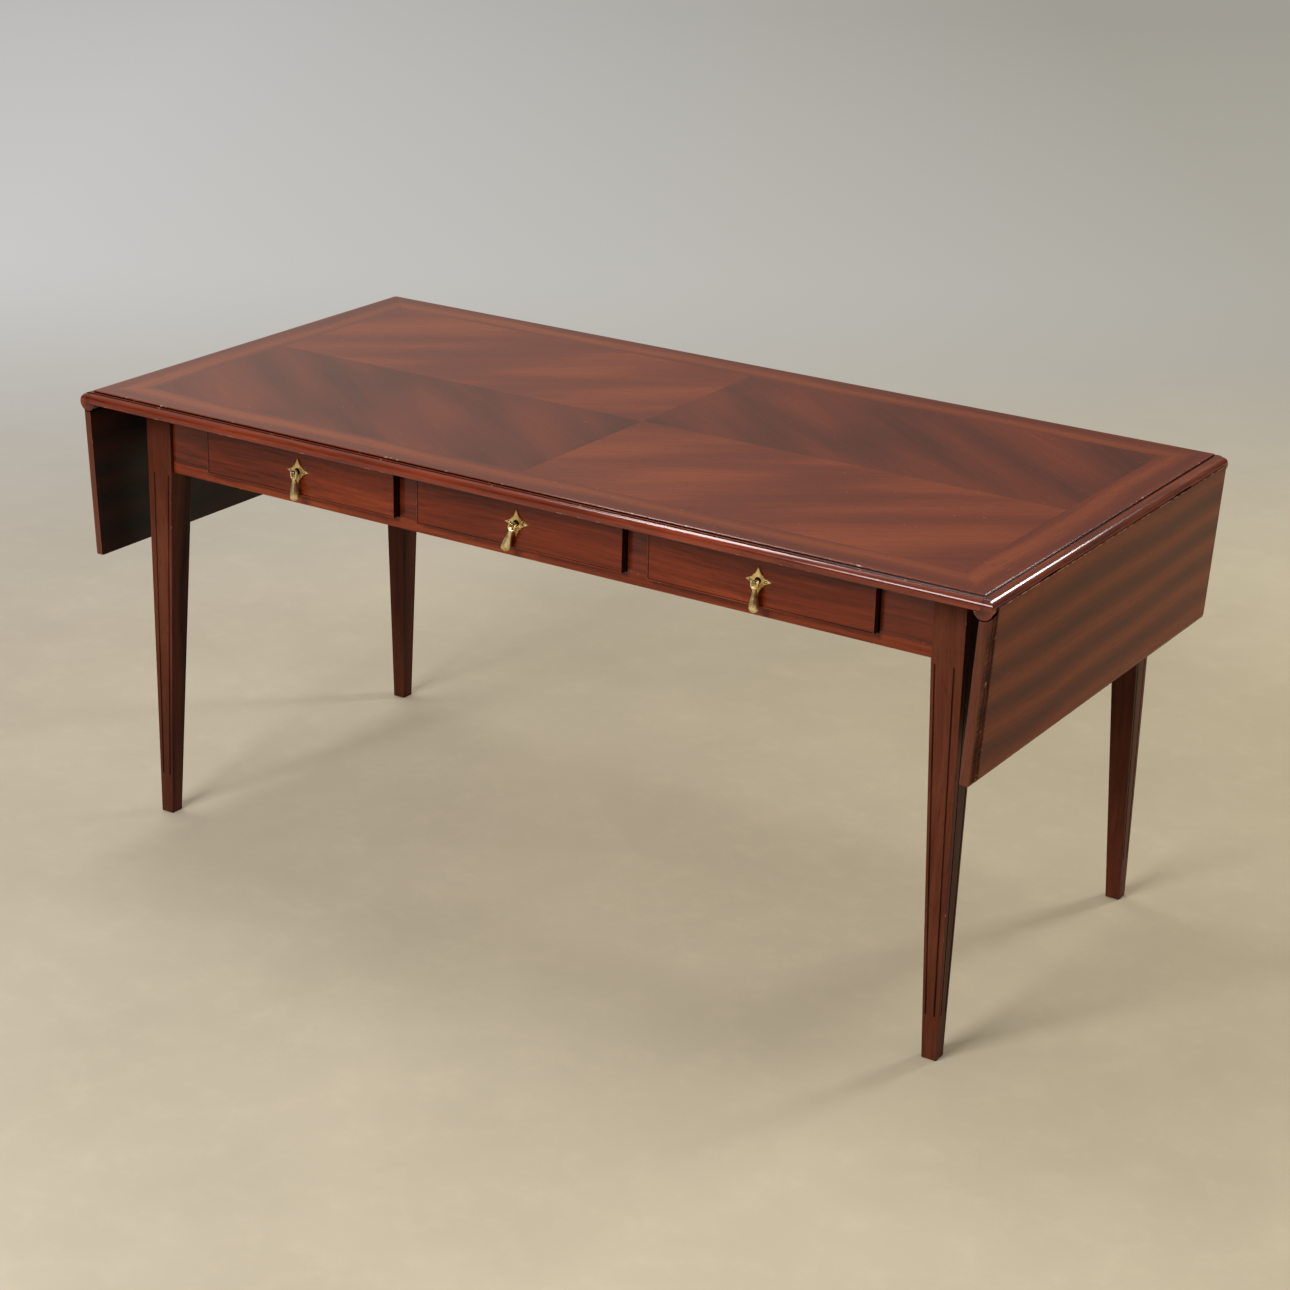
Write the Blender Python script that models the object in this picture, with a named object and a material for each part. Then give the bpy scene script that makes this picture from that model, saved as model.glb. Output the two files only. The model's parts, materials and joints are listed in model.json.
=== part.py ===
"""Drop-leaf coffee table with three drawers and two leaves that hang at its ends.

Sizes are in metres. X runs along the table, the drawers face -Y and Z is up.
The origin is on the floor, under the middle of the top.
"""
import math

import bmesh
import bpy
from mathutils import Vector

# Fixed top
TABLE_HEIGHT = 0.550
TOP_LENGTH = 1.170
TOP_WIDTH = 0.581
TOP_THICKNESS = 0.0155
GLUE_GAP = 0.0003
MERGE_DISTANCE = 0.000002

# Moulding on the long edges of the top and on the free edges of the leaves
MOULDING_STEP = 0.003
MOULDING_LEDGE = 0.0035
MOULDING_QUIRK = 0.0008
MOULDING_ROUND = 0.0055
MOULDING_ARRIS = 0.0008
MOULDING_ARC_STEPS = 5

# Rule joint, with its centre on the hinge pin
JOINT_PIN_OUT = 0.003
JOINT_RADIUS = 0.011
JOINT_STEP = 0.002
JOINT_CLEARANCE = 0.0004
JOINT_ARC_STEPS = 18

# Leaves, measured from the hinge pin when raised
LEAF_LENGTH = 0.190
LEAF_THICKNESS = 0.016
LEAF_CORNER_RADIUS = 0.005
LEAF_CORNER_BITE = 0.0004
LEAF_CORNER_STEPS = 4

# Brass hinges of the leaves
HINGE_LENGTH = 0.044
HINGE_END_INSET = 0.1205
HINGE_KNUCKLE_RADIUS = 0.0024
HINGE_PIN_RADIUS = 0.0012
HINGE_FLAP_THICKNESS = 0.002
HINGE_RAIL_GAP = 0.0088
HINGE_LEAF_FLAP = 0.060
HINGE_NECK = 0.008
HINGE_CLEARANCE = 0.0004
HINGE_BARREL_INSET = 0.0002
HINGE_SEGMENTS = 12

# Legs
LEG_SIZE = 0.037
LEG_FOOT_SIZE = 0.0175
LEG_END_INSET = 0.0392
LEG_SIDE_INSET = 0.0449
FLUTE_WIDTH = 0.002
FLUTE_DEPTH = 0.0012
FLUTE_OUTER_OFFSET = 0.010
FLUTE_INNER_OFFSET = 0.005
FLUTE_FOOT_OFFSET = 0.0042
FLUTE_TOP_DROP = 0.004
FLUTE_BOTTOM = 0.053

# Frieze rails
APRON_DEPTH = 0.0842
RAIL_THICKNESS = 0.020
FRONT_SETBACK = 0.0046
BOTTOM_RAIL_HEIGHT = 0.0135
TOP_RAIL_HEIGHT = 0.0095

# Drawers
DRAWER_NAMES = ("left", "centre", "right")
END_STILE_WIDTH = 0.0619
DRAWER_STILE_WIDTH = 0.0308
DRAWER_CLEARANCE = 0.0006
DRAWER_PROUD = 0.0096
DRAWER_FRONT_THICKNESS = 0.018
COCKBEAD_WIDTH = 0.002
COCKBEAD_PROUD = 0.001
BOX_BACK_ROOM = 0.0533
BOX_HEADROOM = 0.006
BOX_SIDE_CLEARANCE = 0.003
BOX_SIDE_THICKNESS = 0.010
BOX_BACK_DROP = 0.005
BOX_BOTTOM_THICKNESS = 0.005
BOX_BOTTOM_LIFT = 0.0035
BOX_GROOVE_DEPTH = 0.004

# Drawer runners and guides
RUNNER_TONGUE = 0.014
GUIDE_CLEARANCE = 0.001
GUIDE_HEIGHT = 0.025
END_GUIDE_THICKNESS = 0.020

# Bearers that carry the raised leaves
BEARER_WIDTH = 0.060
BEARER_HEIGHT = 0.0195
BEARER_LENGTH = 0.136
BEARER_HEAD_WIDTH = 0.076
BEARER_HEAD_LENGTH = 0.016
BEARER_CLEARANCE = 0.0003
BEARER_GUIDE_DEPTH = 0.008

# Drop pulls
PULL_DROP = 0.0007
PLATE_RADIUS = 0.0155
PLATE_WAIST = 0.0074
PLATE_NOTCH = 0.0064
PLATE_NOTCH_TURN = math.radians(7)
PLATE_HOLLOW = 0.0012
PLATE_THICKNESS = 0.002
PLATE_ARC_STEPS = 4
POST_RADIUS = 0.0018
POST_CLEARANCE = 0.0003
POST_REACH = 0.0063
POST_BALL_RADIUS = 0.0026
POST_NUT_RADIUS = 0.0042
POST_NUT_THICKNESS = 0.003
CROSS_PIN_RADIUS = 0.0009
FORK_GAP = 0.0005
FORK_CHEEK = 0.0015
FORK_WIDTH = 0.003
FORK_RISE = 0.0022
FORK_SEAT = 0.005
FORK_DROP = 0.008
DROP_NECK_RADIUS = 0.0024
DROP_BELL_RADIUS = 0.005
DROP_FLARE = 0.0205
DROP_BASE = 0.0055
DROP_SEGMENTS = 14
DROP_RINGS = 6
CENTRE_DROP_LEAN = math.radians(19)
BORE_SEGMENTS = 9
ROUND_SEGMENTS = 12

# Places that follow from the sizes
TOP_UNDERSIDE = TABLE_HEIGHT - TOP_THICKNESS
CARCASS_TOP = TOP_UNDERSIDE - GLUE_GAP
APRON_BOTTOM = CARCASS_TOP - APRON_DEPTH
FLAT_END = TOP_LENGTH / 2
FLAT_SIDE = TOP_WIDTH / 2
MOULDING_REACH = MOULDING_LEDGE + MOULDING_ROUND
EDGE_SIDE = FLAT_SIDE + MOULDING_REACH
PIN_X = FLAT_END + JOINT_PIN_OUT
PIN_Z = TABLE_HEIGHT - JOINT_STEP - JOINT_RADIUS
LEAF_TOP = TABLE_HEIGHT - PIN_Z
LEAF_UNDERSIDE = LEAF_TOP - LEAF_THICKNESS
HINGE_SWING = math.hypot(LEAF_UNDERSIDE, HINGE_KNUCKLE_RADIUS) + HINGE_CLEARANCE
HINGE_Y = FLAT_SIDE - HINGE_END_INSET
LEG_X = FLAT_END - LEG_END_INSET
LEG_Y = FLAT_SIDE - LEG_SIDE_INSET
RAIL_HALF_LENGTH = LEG_X - LEG_SIZE - GLUE_GAP
RAIL_HALF_DEPTH = LEG_Y - LEG_SIZE - GLUE_GAP
FRONT_FACE = -(LEG_Y - FRONT_SETBACK)
FRONT_BACK = FRONT_FACE + RAIL_THICKNESS
BACK_FRONT = -FRONT_BACK
END_OUTER = LEG_X - FRONT_SETBACK
END_INNER = END_OUTER - RAIL_THICKNESS
OPENING_LOW = APRON_BOTTOM + BOTTOM_RAIL_HEIGHT
OPENING_HIGH = CARCASS_TOP - TOP_RAIL_HEIGHT
DRAWER_COUNT = len(DRAWER_NAMES)
STILES_WIDTH = 2 * END_STILE_WIDTH + (DRAWER_COUNT - 1) * DRAWER_STILE_WIDTH
OPENING_HALF = (2 * RAIL_HALF_LENGTH - STILES_WIDTH) / DRAWER_COUNT / 2
DRAWER_PITCH = 2 * OPENING_HALF + DRAWER_STILE_WIDTH
LAST_DRAWER = DRAWER_PITCH * (DRAWER_COUNT - 1) / 2
DRAWER_HALF = OPENING_HALF - DRAWER_CLEARANCE
DRAWER_LOW = OPENING_LOW + DRAWER_CLEARANCE
DRAWER_HIGH = OPENING_HIGH - DRAWER_CLEARANCE
DRAWER_FACE = FRONT_FACE - DRAWER_PROUD
DRAWER_BACK = DRAWER_FACE + DRAWER_FRONT_THICKNESS
BOX_HALF = DRAWER_HALF - BOX_SIDE_CLEARANCE
RUNNER_LOW = APRON_BOTTOM + DRAWER_CLEARANCE
RUNNER_TOP = OPENING_LOW
BEARER_TOP = CARCASS_TOP - BEARER_CLEARANCE
BEARER_LOW = BEARER_TOP - BEARER_HEIGHT
BOX_LOW = RUNNER_TOP + GLUE_GAP
BOX_HIGH = BEARER_LOW - BOX_HEADROOM
BOX_START = DRAWER_BACK + GLUE_GAP
BOX_END = BACK_FRONT - BOX_BACK_ROOM
BOX_INNER = BOX_HALF - BOX_SIDE_THICKNESS
PANEL_LOW = BOX_LOW + BOX_BOTTOM_LIFT
PANEL_HIGH = PANEL_LOW + BOX_BOTTOM_THICKNESS
PULL_Z = (DRAWER_LOW + DRAWER_HIGH) / 2 - PULL_DROP
PLATE_BACK = DRAWER_FACE - GLUE_GAP
PLATE_FACE = PLATE_BACK - PLATE_THICKNESS
PULL_PIVOT_Y = PLATE_FACE - POST_REACH
SIDES = {"left": -1, "right": 1}

PLACE = {
    "X": lambda u, v, w: Vector((w, u, v)),
    "Y": lambda u, v, w: Vector((u, w, v)),
    "Z": lambda u, v, w: Vector((u, v, w)),
}


def clear_scene():
    """Remove every object of the open scene."""
    for thing in list(bpy.data.objects):
        bpy.data.objects.remove(thing, do_unlink=True)


def make_material(name, colour, roughness, metallic=0.0):
    """Plain finish with one colour."""
    material = bpy.data.materials.new(name)
    material.use_nodes = True
    shader = material.node_tree.nodes["Principled BSDF"]
    shader.inputs["Base Color"].default_value = (*colour, 1.0)
    shader.inputs["Roughness"].default_value = roughness
    shader.inputs["Metallic"].default_value = metallic
    return material


def make_pivot(name, place, parent=None):
    """Empty that carries the pieces of one moving assembly."""
    pivot = bpy.data.objects.new(name, None)
    pivot.location = place
    pivot.parent = parent
    bpy.context.collection.objects.link(pivot)
    return pivot


def make_piece(name, bm, material, parent=None, smooth=False):
    """Turn a closed bmesh into a named object."""
    bmesh.ops.recalc_face_normals(bm, faces=bm.faces)
    mesh = bpy.data.meshes.new(name)
    bm.to_mesh(mesh)
    bm.free()
    if smooth:
        mesh.shade_smooth()
        mesh.set_sharp_from_angle(angle=math.radians(40))
    mesh.materials.append(material)
    piece = bpy.data.objects.new(name, mesh)
    piece.parent = parent
    bpy.context.collection.objects.link(piece)
    return piece


def shape_with(piece, operation, bm):
    """Cut, keep or join a hidden helper shape, which moves with the piece."""
    tool = make_piece(piece.name + "_tool", bm, piece.data.materials[0], piece.parent)
    tool.location = piece.location
    tool.rotation_euler = piece.rotation_euler
    tool.hide_render = True
    tool.display_type = "WIRE"
    modifier = piece.modifiers.new(operation.title(), "BOOLEAN")
    modifier.operation = operation
    modifier.solver = "EXACT"
    modifier.object = tool


def prism(outline, axis, low, high, bm=None):
    """Closed bar with the given outline, drawn out along one axis from low to high."""
    bm = bm or bmesh.new()
    ring = [bm.verts.new(PLACE[axis](u, v, low)) for u, v in outline]
    drawn = bmesh.ops.extrude_face_region(bm, geom=[bm.faces.new(ring)])
    far = [item for item in drawn["geom"] if isinstance(item, bmesh.types.BMVert)]
    bmesh.ops.translate(bm, verts=far, vec=PLACE[axis](0, 0, high - low))
    return bm


def block(x, y, z, bm=None):
    """Box between pairs of low and high coordinates."""
    corners = [(x[0], y[0]), (x[1], y[0]), (x[1], y[1]), (x[0], y[1])]
    return prism(corners, "Z", z[0], z[1], bm)


def mirrored(pair, sign):
    """Low and high coordinates of a span, on the side that sign gives."""
    return sorted(sign * value for value in pair)


def arc(centre, radius, start, end, steps):
    """Points on a circle from one angle to another, both ends included."""
    turn = (end - start) / steps
    angles = [start + turn * step for step in range(steps + 1)]
    return [(centre[0] + radius * math.cos(a), centre[1] + radius * math.sin(a)) for a in angles]


def turned(profile, axis, centre, segments):
    """Solid turned about an axis, from (along, radius) points that start and end on it."""
    bm = bmesh.new()
    verts = [bm.verts.new(centre + PLACE[axis](radius, 0, along)) for along, radius in profile]
    edges = [bm.edges.new(pair) for pair in zip(verts, verts[1:])]
    bmesh.ops.spin(
        bm, geom=verts + edges, cent=centre, axis=PLACE[axis](0, 0, 1),
        angle=math.tau, steps=segments, use_merge=True,
    )
    bmesh.ops.remove_doubles(bm, verts=bm.verts, dist=MERGE_DISTANCE)
    return bm


def rod(axis, centre, radius, low, high, segments=ROUND_SEGMENTS):
    """Round bar along one axis."""
    return turned([(low, 0), (low, radius), (high, radius), (high, 0)], axis, centre, segments)


def moulded_edge(flat, top, bottom):
    """Points of a moulded edge, from the flat's arris at the top to the underside."""
    ledge = top - MOULDING_STEP
    shoulder = flat + MOULDING_LEDGE
    springing = ledge - MOULDING_QUIRK - MOULDING_ROUND
    edge = shoulder + MOULDING_ROUND
    rounded = arc((shoulder, springing), MOULDING_ROUND, math.pi / 2, 0, MOULDING_ARC_STEPS)
    lower = [(edge, bottom + MOULDING_ARRIS), (edge - MOULDING_ARRIS, bottom)]
    return [(flat, top), (flat, ledge), (shoulder, ledge)] + rounded + lower


def both_edges(points):
    """Outline with a moulded edge on both sides of the middle."""
    return points + [(-u, v) for u, v in reversed(points)]


def centroid(outline):
    """Middle of the area inside an outline."""
    area = along = above = 0.0
    for (u0, v0), (u1, v1) in zip(outline, outline[1:] + outline[:1]):
        cross = u0 * v1 - u1 * v0
        area += cross
        along += (u0 + u1) * cross
        above += (v0 + v1) * cross
    return along / (3 * area), above / (3 * area)


def leaf_section():
    """Section of a raised leaf about the hinge pin: its cove, its faces and its moulded end."""
    cove = JOINT_RADIUS + JOINT_CLEARANCE
    lip = JOINT_PIN_OUT - JOINT_CLEARANCE
    high = math.acos(-lip / cove)
    low = math.asin(LEAF_UNDERSIDE / cove)
    hollow = arc((0, 0), cove, low, high, JOINT_ARC_STEPS // 2)
    flat = LEAF_LENGTH - MOULDING_REACH
    return hollow + [(-lip, LEAF_TOP)] + moulded_edge(flat, LEAF_TOP, LEAF_UNDERSIDE)


def hinge_spans():
    """Low and high Y of each hinge of a leaf, by the end of the leaf it is near."""
    half = HINGE_LENGTH / 2
    middles = {"front": -HINGE_Y, "back": HINGE_Y}
    return {name: (middle - half, middle + half) for name, middle in middles.items()}


def knuckle_span(span):
    """Low and high Y of the middle knuckle of a hinge."""
    third = HINGE_LENGTH / 3
    return span[0] + third, span[1] - third


def hinge_notches(sign, inner):
    """Cutters at one end of the top that leave room for the knuckles, from inner outwards."""
    across = mirrored((inner, PIN_X + 2 * JOINT_RADIUS), sign)
    upright = (PIN_Z - 2 * JOINT_RADIUS, PIN_Z + HINGE_KNUCKLE_RADIUS + HINGE_CLEARANCE)
    bm = bmesh.new()
    for span in hinge_spans().values():
        block(across, (span[0] - HINGE_CLEARANCE, span[1] + HINGE_CLEARANCE), upright, bm)
    return bm


def build_top(wood):
    """Board, edge mouldings and rule-joint strips of the fixed top."""
    sheet = block((-FLAT_END, FLAT_END), (-FLAT_SIDE, FLAT_SIDE), (TOP_UNDERSIDE, TABLE_HEIGHT))
    panel = make_piece("top_panel", sheet, wood)
    for sign in SIDES.values():
        shape_with(panel, "DIFFERENCE", hinge_notches(sign, PIN_X - HINGE_SWING))
    seat = FLAT_SIDE + GLUE_GAP
    edge = [(seat, TOP_UNDERSIDE)] + moulded_edge(seat, TABLE_HEIGHT, TOP_UNDERSIDE)[1:]
    for name, sign in (("front", -1), ("back", 1)):
        outline = [(sign * u, v) for u, v in edge]
        make_piece(name + "_edge_moulding", prism(outline, "X", -FLAT_END, FLAT_END), wood)
    for name, sign in SIDES.items():
        build_joint_strip(name, sign, wood)


def build_joint_strip(name, sign, wood):
    """Round strip along one end of the top, notched for the hinges and the bearer."""
    seat = FLAT_END + GLUE_GAP
    low = CARCASS_TOP - PIN_Z
    first = math.acos((seat - PIN_X) / JOINT_RADIUS)
    last = math.asin(low / JOINT_RADIUS)
    bead = arc((PIN_X, PIN_Z), JOINT_RADIUS, first, -math.pi - last, JOINT_ARC_STEPS)
    outline = [(sign * u, v) for u, v in bead + [(seat, CARCASS_TOP)]]
    long = EDGE_SIDE + JOINT_RADIUS
    strip = make_piece(name + "_joint_strip", prism(outline, "Y", -long, long), wood)
    reach = PIN_X + 2 * JOINT_RADIUS
    below = PIN_Z - 2 * JOINT_RADIUS
    ends = both_edges(moulded_edge(FLAT_SIDE, TABLE_HEIGHT, below))
    shape_with(strip, "INTERSECT", prism(ends, "X", *mirrored((0, reach), sign)))
    inner = PIN_X - 2 * JOINT_RADIUS
    notches = hinge_notches(sign, inner)
    half = BEARER_WIDTH / 2 + HINGE_CLEARANCE
    block(mirrored((inner, reach), sign), (-half, half), (below, TOP_UNDERSIDE), notches)
    shape_with(strip, "DIFFERENCE", notches)


def build_leaf(name, sign, wood, brass):
    """Hanging leaf with its half of the hinges, carried by an empty on the hinge pin."""
    pivot = make_pivot(name + "_leaf_pivot", (sign * PIN_X, 0, PIN_Z))
    section = leaf_section()
    along, above = centroid(section)
    pivot.rotation_euler = (0, sign * (math.pi / 2 + math.atan2(above, along)), 0)
    long = EDGE_SIDE + LEAF_THICKNESS
    board = prism([(sign * u, v) for u, v in section], "Y", -long, long)
    leaf = make_piece(name + "_leaf", board, wood, pivot)
    recess_top = LEAF_UNDERSIDE + HINGE_FLAP_THICKNESS + GLUE_GAP
    recesses = bmesh.new()
    for span in hinge_spans().values():
        wide = (span[0] - HINGE_CLEARANCE, span[1] + HINGE_CLEARANCE)
        deep = mirrored((0, HINGE_LEAF_FLAP + HINGE_CLEARANCE), sign)
        block(deep, wide, (LEAF_UNDERSIDE - LEAF_THICKNESS, recess_top), recesses)
    shape_with(leaf, "DIFFERENCE", recesses)
    ends = both_edges(moulded_edge(FLAT_SIDE, LEAF_TOP, LEAF_UNDERSIDE))
    through = mirrored((-LEAF_LENGTH, 2 * LEAF_LENGTH), sign)
    shape_with(leaf, "INTERSECT", prism(ends, "X", *through))
    shape_with(leaf, "DIFFERENCE", leaf_corners(sign))
    for end, span in hinge_spans().items():
        build_leaf_flap(f"{name}_{end}_hinge_leaf_flap", sign, span, brass, pivot)
        build_top_flap(f"{name}_{end}_hinge_top_flap", sign, span, brass)


def leaf_corners(sign):
    """Cutters that round the two free corners of a leaf, seen from above."""
    radius = LEAF_CORNER_RADIUS
    end = LEAF_LENGTH - radius + LEAF_CORNER_BITE
    side = EDGE_SIDE - radius + LEAF_CORNER_BITE
    beyond = [(end, side + 2 * radius), (end + 2 * radius, side + 2 * radius), (end + 2 * radius, side)]
    outline = arc((end, side), radius, 0, math.pi / 2, LEAF_CORNER_STEPS) + beyond
    bm = bmesh.new()
    for way in (-1, 1):
        prism([(sign * u, way * v) for u, v in outline], "Z", -LEAF_THICKNESS, 2 * LEAF_TOP, bm)
    return bm


def build_leaf_flap(name, sign, span, brass, pivot):
    """Long flap let into the leaf, with the middle knuckle."""
    middle = knuckle_span(span)
    low = LEAF_UNDERSIDE
    high = low + HINGE_FLAP_THICKNESS
    outline = [
        (0, middle[0] + HINGE_CLEARANCE),
        (HINGE_NECK, middle[0] + HINGE_CLEARANCE),
        (HINGE_NECK, span[0]),
        (HINGE_LEAF_FLAP, span[0]),
        (HINGE_LEAF_FLAP, span[1]),
        (HINGE_NECK, span[1]),
        (HINGE_NECK, middle[1] - HINGE_CLEARANCE),
        (0, middle[1] - HINGE_CLEARANCE),
    ]
    flap = make_piece(name, prism([(sign * u, v) for u, v in outline], "Z", low, high), brass, pivot)
    shorter = HINGE_CLEARANCE + HINGE_BARREL_INSET
    barrel = (middle[0] + shorter, middle[1] - shorter)
    inside = (barrel[0] + HINGE_BARREL_INSET, barrel[1] - HINGE_BARREL_INSET)
    riser = mirrored((HINGE_BARREL_INSET, HINGE_KNUCKLE_RADIUS), sign)
    shape_with(flap, "UNION", block(riser, inside, (low + HINGE_BARREL_INSET, 0)))
    shape_with(flap, "UNION", rod("Y", Vector(), HINGE_KNUCKLE_RADIUS, *barrel, HINGE_SEGMENTS))
    bore = HINGE_PIN_RADIUS + HINGE_CLEARANCE
    shape_with(flap, "DIFFERENCE", rod("Y", Vector(), bore, *span, HINGE_SEGMENTS))


def build_top_flap(name, sign, span, brass):
    """Short flap under the top, with the two outer knuckles and the pin."""
    middle = knuckle_span(span)
    high = CARCASS_TOP
    low = high - HINGE_FLAP_THICKNESS
    inner = END_OUTER + HINGE_RAIL_GAP
    waist = PIN_X - HINGE_SWING
    outline = [
        (inner, span[0]),
        (PIN_X, span[0]),
        (PIN_X, middle[0]),
        (waist, middle[0]),
        (waist, middle[1]),
        (PIN_X, middle[1]),
        (PIN_X, span[1]),
        (inner, span[1]),
    ]
    flap = make_piece(name, prism([(sign * u, v) for u, v in outline], "Z", low, high), brass)
    centre = Vector((sign * PIN_X, 0, PIN_Z))
    riser = mirrored((PIN_X - HINGE_KNUCKLE_RADIUS, PIN_X + HINGE_KNUCKLE_RADIUS / 2), sign)
    for low_end, high_end in ((span[0], middle[0]), (middle[1], span[1])):
        barrel = (low_end + HINGE_BARREL_INSET, high_end - HINGE_BARREL_INSET)
        inside = (barrel[0] + HINGE_BARREL_INSET, barrel[1] - HINGE_BARREL_INSET)
        shape_with(flap, "UNION", block(riser, inside, (low + HINGE_BARREL_INSET, PIN_Z)))
        shape_with(flap, "UNION", rod("Y", centre, HINGE_KNUCKLE_RADIUS, *barrel, HINGE_SEGMENTS))
    pin = (span[0] + HINGE_CLEARANCE, span[1] - HINGE_CLEARANCE)
    shape_with(flap, "UNION", rod("Y", centre, HINGE_PIN_RADIUS, *pin, HINGE_SEGMENTS))


def build_legs(wood):
    """Four tapered legs, each turned a quarter from the last, with flutes on the outward faces."""
    corners = {
        "front_left": (-LEG_X, -LEG_Y),
        "front_right": (LEG_X, -LEG_Y),
        "back_right": (LEG_X, LEG_Y),
        "back_left": (-LEG_X, LEG_Y),
    }
    for quarter, (name, (x, y)) in enumerate(corners.items()):
        leg = make_piece(name + "_leg", leg_blank(), wood)
        leg.location = (x, y, 0)
        leg.rotation_euler = (0, 0, quarter * math.pi / 2)
        shape_with(leg, "DIFFERENCE", leg_flutes())


def leg_blank():
    """Square leg about its outer corner, tapered on its two inner faces below the apron."""
    foot = [(0, 0), (LEG_FOOT_SIZE, 0), (LEG_FOOT_SIZE, LEG_FOOT_SIZE), (0, LEG_FOOT_SIZE)]
    bm = prism(foot, "Z", 0, APRON_BOTTOM)
    upper = max(bm.faces, key=lambda face: face.calc_center_median().z)
    widen = LEG_SIZE / LEG_FOOT_SIZE
    bmesh.ops.scale(bm, verts=upper.verts, vec=(widen, widen, 1))
    drawn = bmesh.ops.extrude_face_region(bm, geom=[upper])
    bmesh.ops.delete(bm, geom=[upper], context="FACES_ONLY")
    far = [item for item in drawn["geom"] if isinstance(item, bmesh.types.BMVert)]
    bmesh.ops.translate(bm, verts=far, vec=(0, 0, CARCASS_TOP - APRON_BOTTOM))
    return bm


def leg_flutes():
    """Cutters of the two flutes on each outward face, one upright and one along the taper."""
    top = APRON_BOTTOM - FLUTE_TOP_DROP
    fall = (APRON_BOTTOM - FLUTE_BOTTOM) / APRON_BOTTOM
    narrow = (LEG_SIZE - LEG_FOOT_SIZE) * fall
    half = FLUTE_WIDTH / 2
    bm = bmesh.new()
    lines = [
        (FLUTE_OUTER_OFFSET, FLUTE_FOOT_OFFSET + half),
        (LEG_SIZE - FLUTE_INNER_OFFSET, LEG_SIZE - narrow - FLUTE_FOOT_OFFSET),
    ]
    for high, low in lines:
        outline = [(low - half, FLUTE_BOTTOM), (low + half, FLUTE_BOTTOM)]
        outline += [(high + half, top), (high - half, top)]
        prism(outline, "Y", -FLUTE_DEPTH, FLUTE_DEPTH, bm)
        prism(outline, "X", -FLUTE_DEPTH, FLUTE_DEPTH, bm)
    return bm


def build_frieze(wood, lining):
    """Rails and stiles between the legs, and the runners inside."""
    along = (-RAIL_HALF_LENGTH, RAIL_HALF_LENGTH)
    deep = (FRONT_FACE, FRONT_BACK)
    make_piece("front_bottom_rail", block(along, deep, (APRON_BOTTOM, OPENING_LOW)), wood)
    make_piece("front_top_rail", block(along, deep, (OPENING_HIGH, CARCASS_TOP)), wood)
    make_piece("back_rail", block(along, (BACK_FRONT, -FRONT_FACE), (APRON_BOTTOM, CARCASS_TOP)), wood)
    upright = (OPENING_LOW + GLUE_GAP, OPENING_HIGH - GLUE_GAP)
    between = (OPENING_HALF, OPENING_HALF + DRAWER_STILE_WIDTH)
    for name, sign in SIDES.items():
        make_piece(name + "_drawer_stile", block(mirrored(between, sign), deep, upright), wood)
        outer = mirrored((LAST_DRAWER + OPENING_HALF, RAIL_HALF_LENGTH), sign)
        make_piece(name + "_end_stile", block(outer, deep, upright), wood)
        build_end_rail(name, sign, wood)
        build_runners(name, sign, lining)


def build_end_rail(name, sign, wood):
    """Rail between two legs, notched at its top for the bearer."""
    thick = mirrored((END_INNER, END_OUTER), sign)
    wide = (-RAIL_HALF_DEPTH, RAIL_HALF_DEPTH)
    rail = make_piece(name + "_end_rail", block(thick, wide, (APRON_BOTTOM, CARCASS_TOP)), wood)
    half = BEARER_WIDTH / 2 + BEARER_CLEARANCE
    room = mirrored((END_INNER - RAIL_THICKNESS, END_OUTER + RAIL_THICKNESS), sign)
    notch = block(room, (-half, half), (BEARER_LOW - BEARER_CLEARANCE, TABLE_HEIGHT))
    shape_with(rail, "DIFFERENCE", notch)


def build_runners(name, sign, lining):
    """Runner between two drawers, and the end runner whose guide also carries the bearer."""
    span = (FRONT_BACK + GLUE_GAP, BACK_FRONT - GLUE_GAP)
    centre = DRAWER_PITCH / 2
    half = centre - BOX_HALF - GUIDE_CLEARANCE
    foot = half + RUNNER_TONGUE
    guide_top = RUNNER_TOP + GUIDE_HEIGHT
    tee = [
        (centre - foot, RUNNER_LOW), (centre + foot, RUNNER_LOW), (centre + foot, RUNNER_TOP),
        (centre + half, RUNNER_TOP), (centre + half, guide_top), (centre - half, guide_top),
        (centre - half, RUNNER_TOP), (centre - foot, RUNNER_TOP),
    ]
    make_piece(name + "_middle_runner", prism([(sign * u, v) for u, v in tee], "Y", *span), lining)
    inner = LAST_DRAWER + BOX_HALF + GUIDE_CLEARANCE
    outer = inner + END_GUIDE_THICKNESS
    carry = BEARER_LOW - BEARER_CLEARANCE
    high = carry + BEARER_GUIDE_DEPTH
    angle = [
        (inner - RUNNER_TONGUE, RUNNER_LOW), (outer, RUNNER_LOW), (outer, high),
        (inner, high), (inner, RUNNER_TOP), (inner - RUNNER_TONGUE, RUNNER_TOP),
    ]
    end = make_piece(name + "_end_runner", prism([(sign * u, v) for u, v in angle], "Y", *span), lining)
    room = mirrored((inner - END_GUIDE_THICKNESS, outer + END_GUIDE_THICKNESS), sign)
    wide = BEARER_HEAD_WIDTH / 2 + BEARER_CLEARANCE
    shape_with(end, "DIFFERENCE", block(room, (-wide, wide), (carry, TABLE_HEIGHT)))


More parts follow.
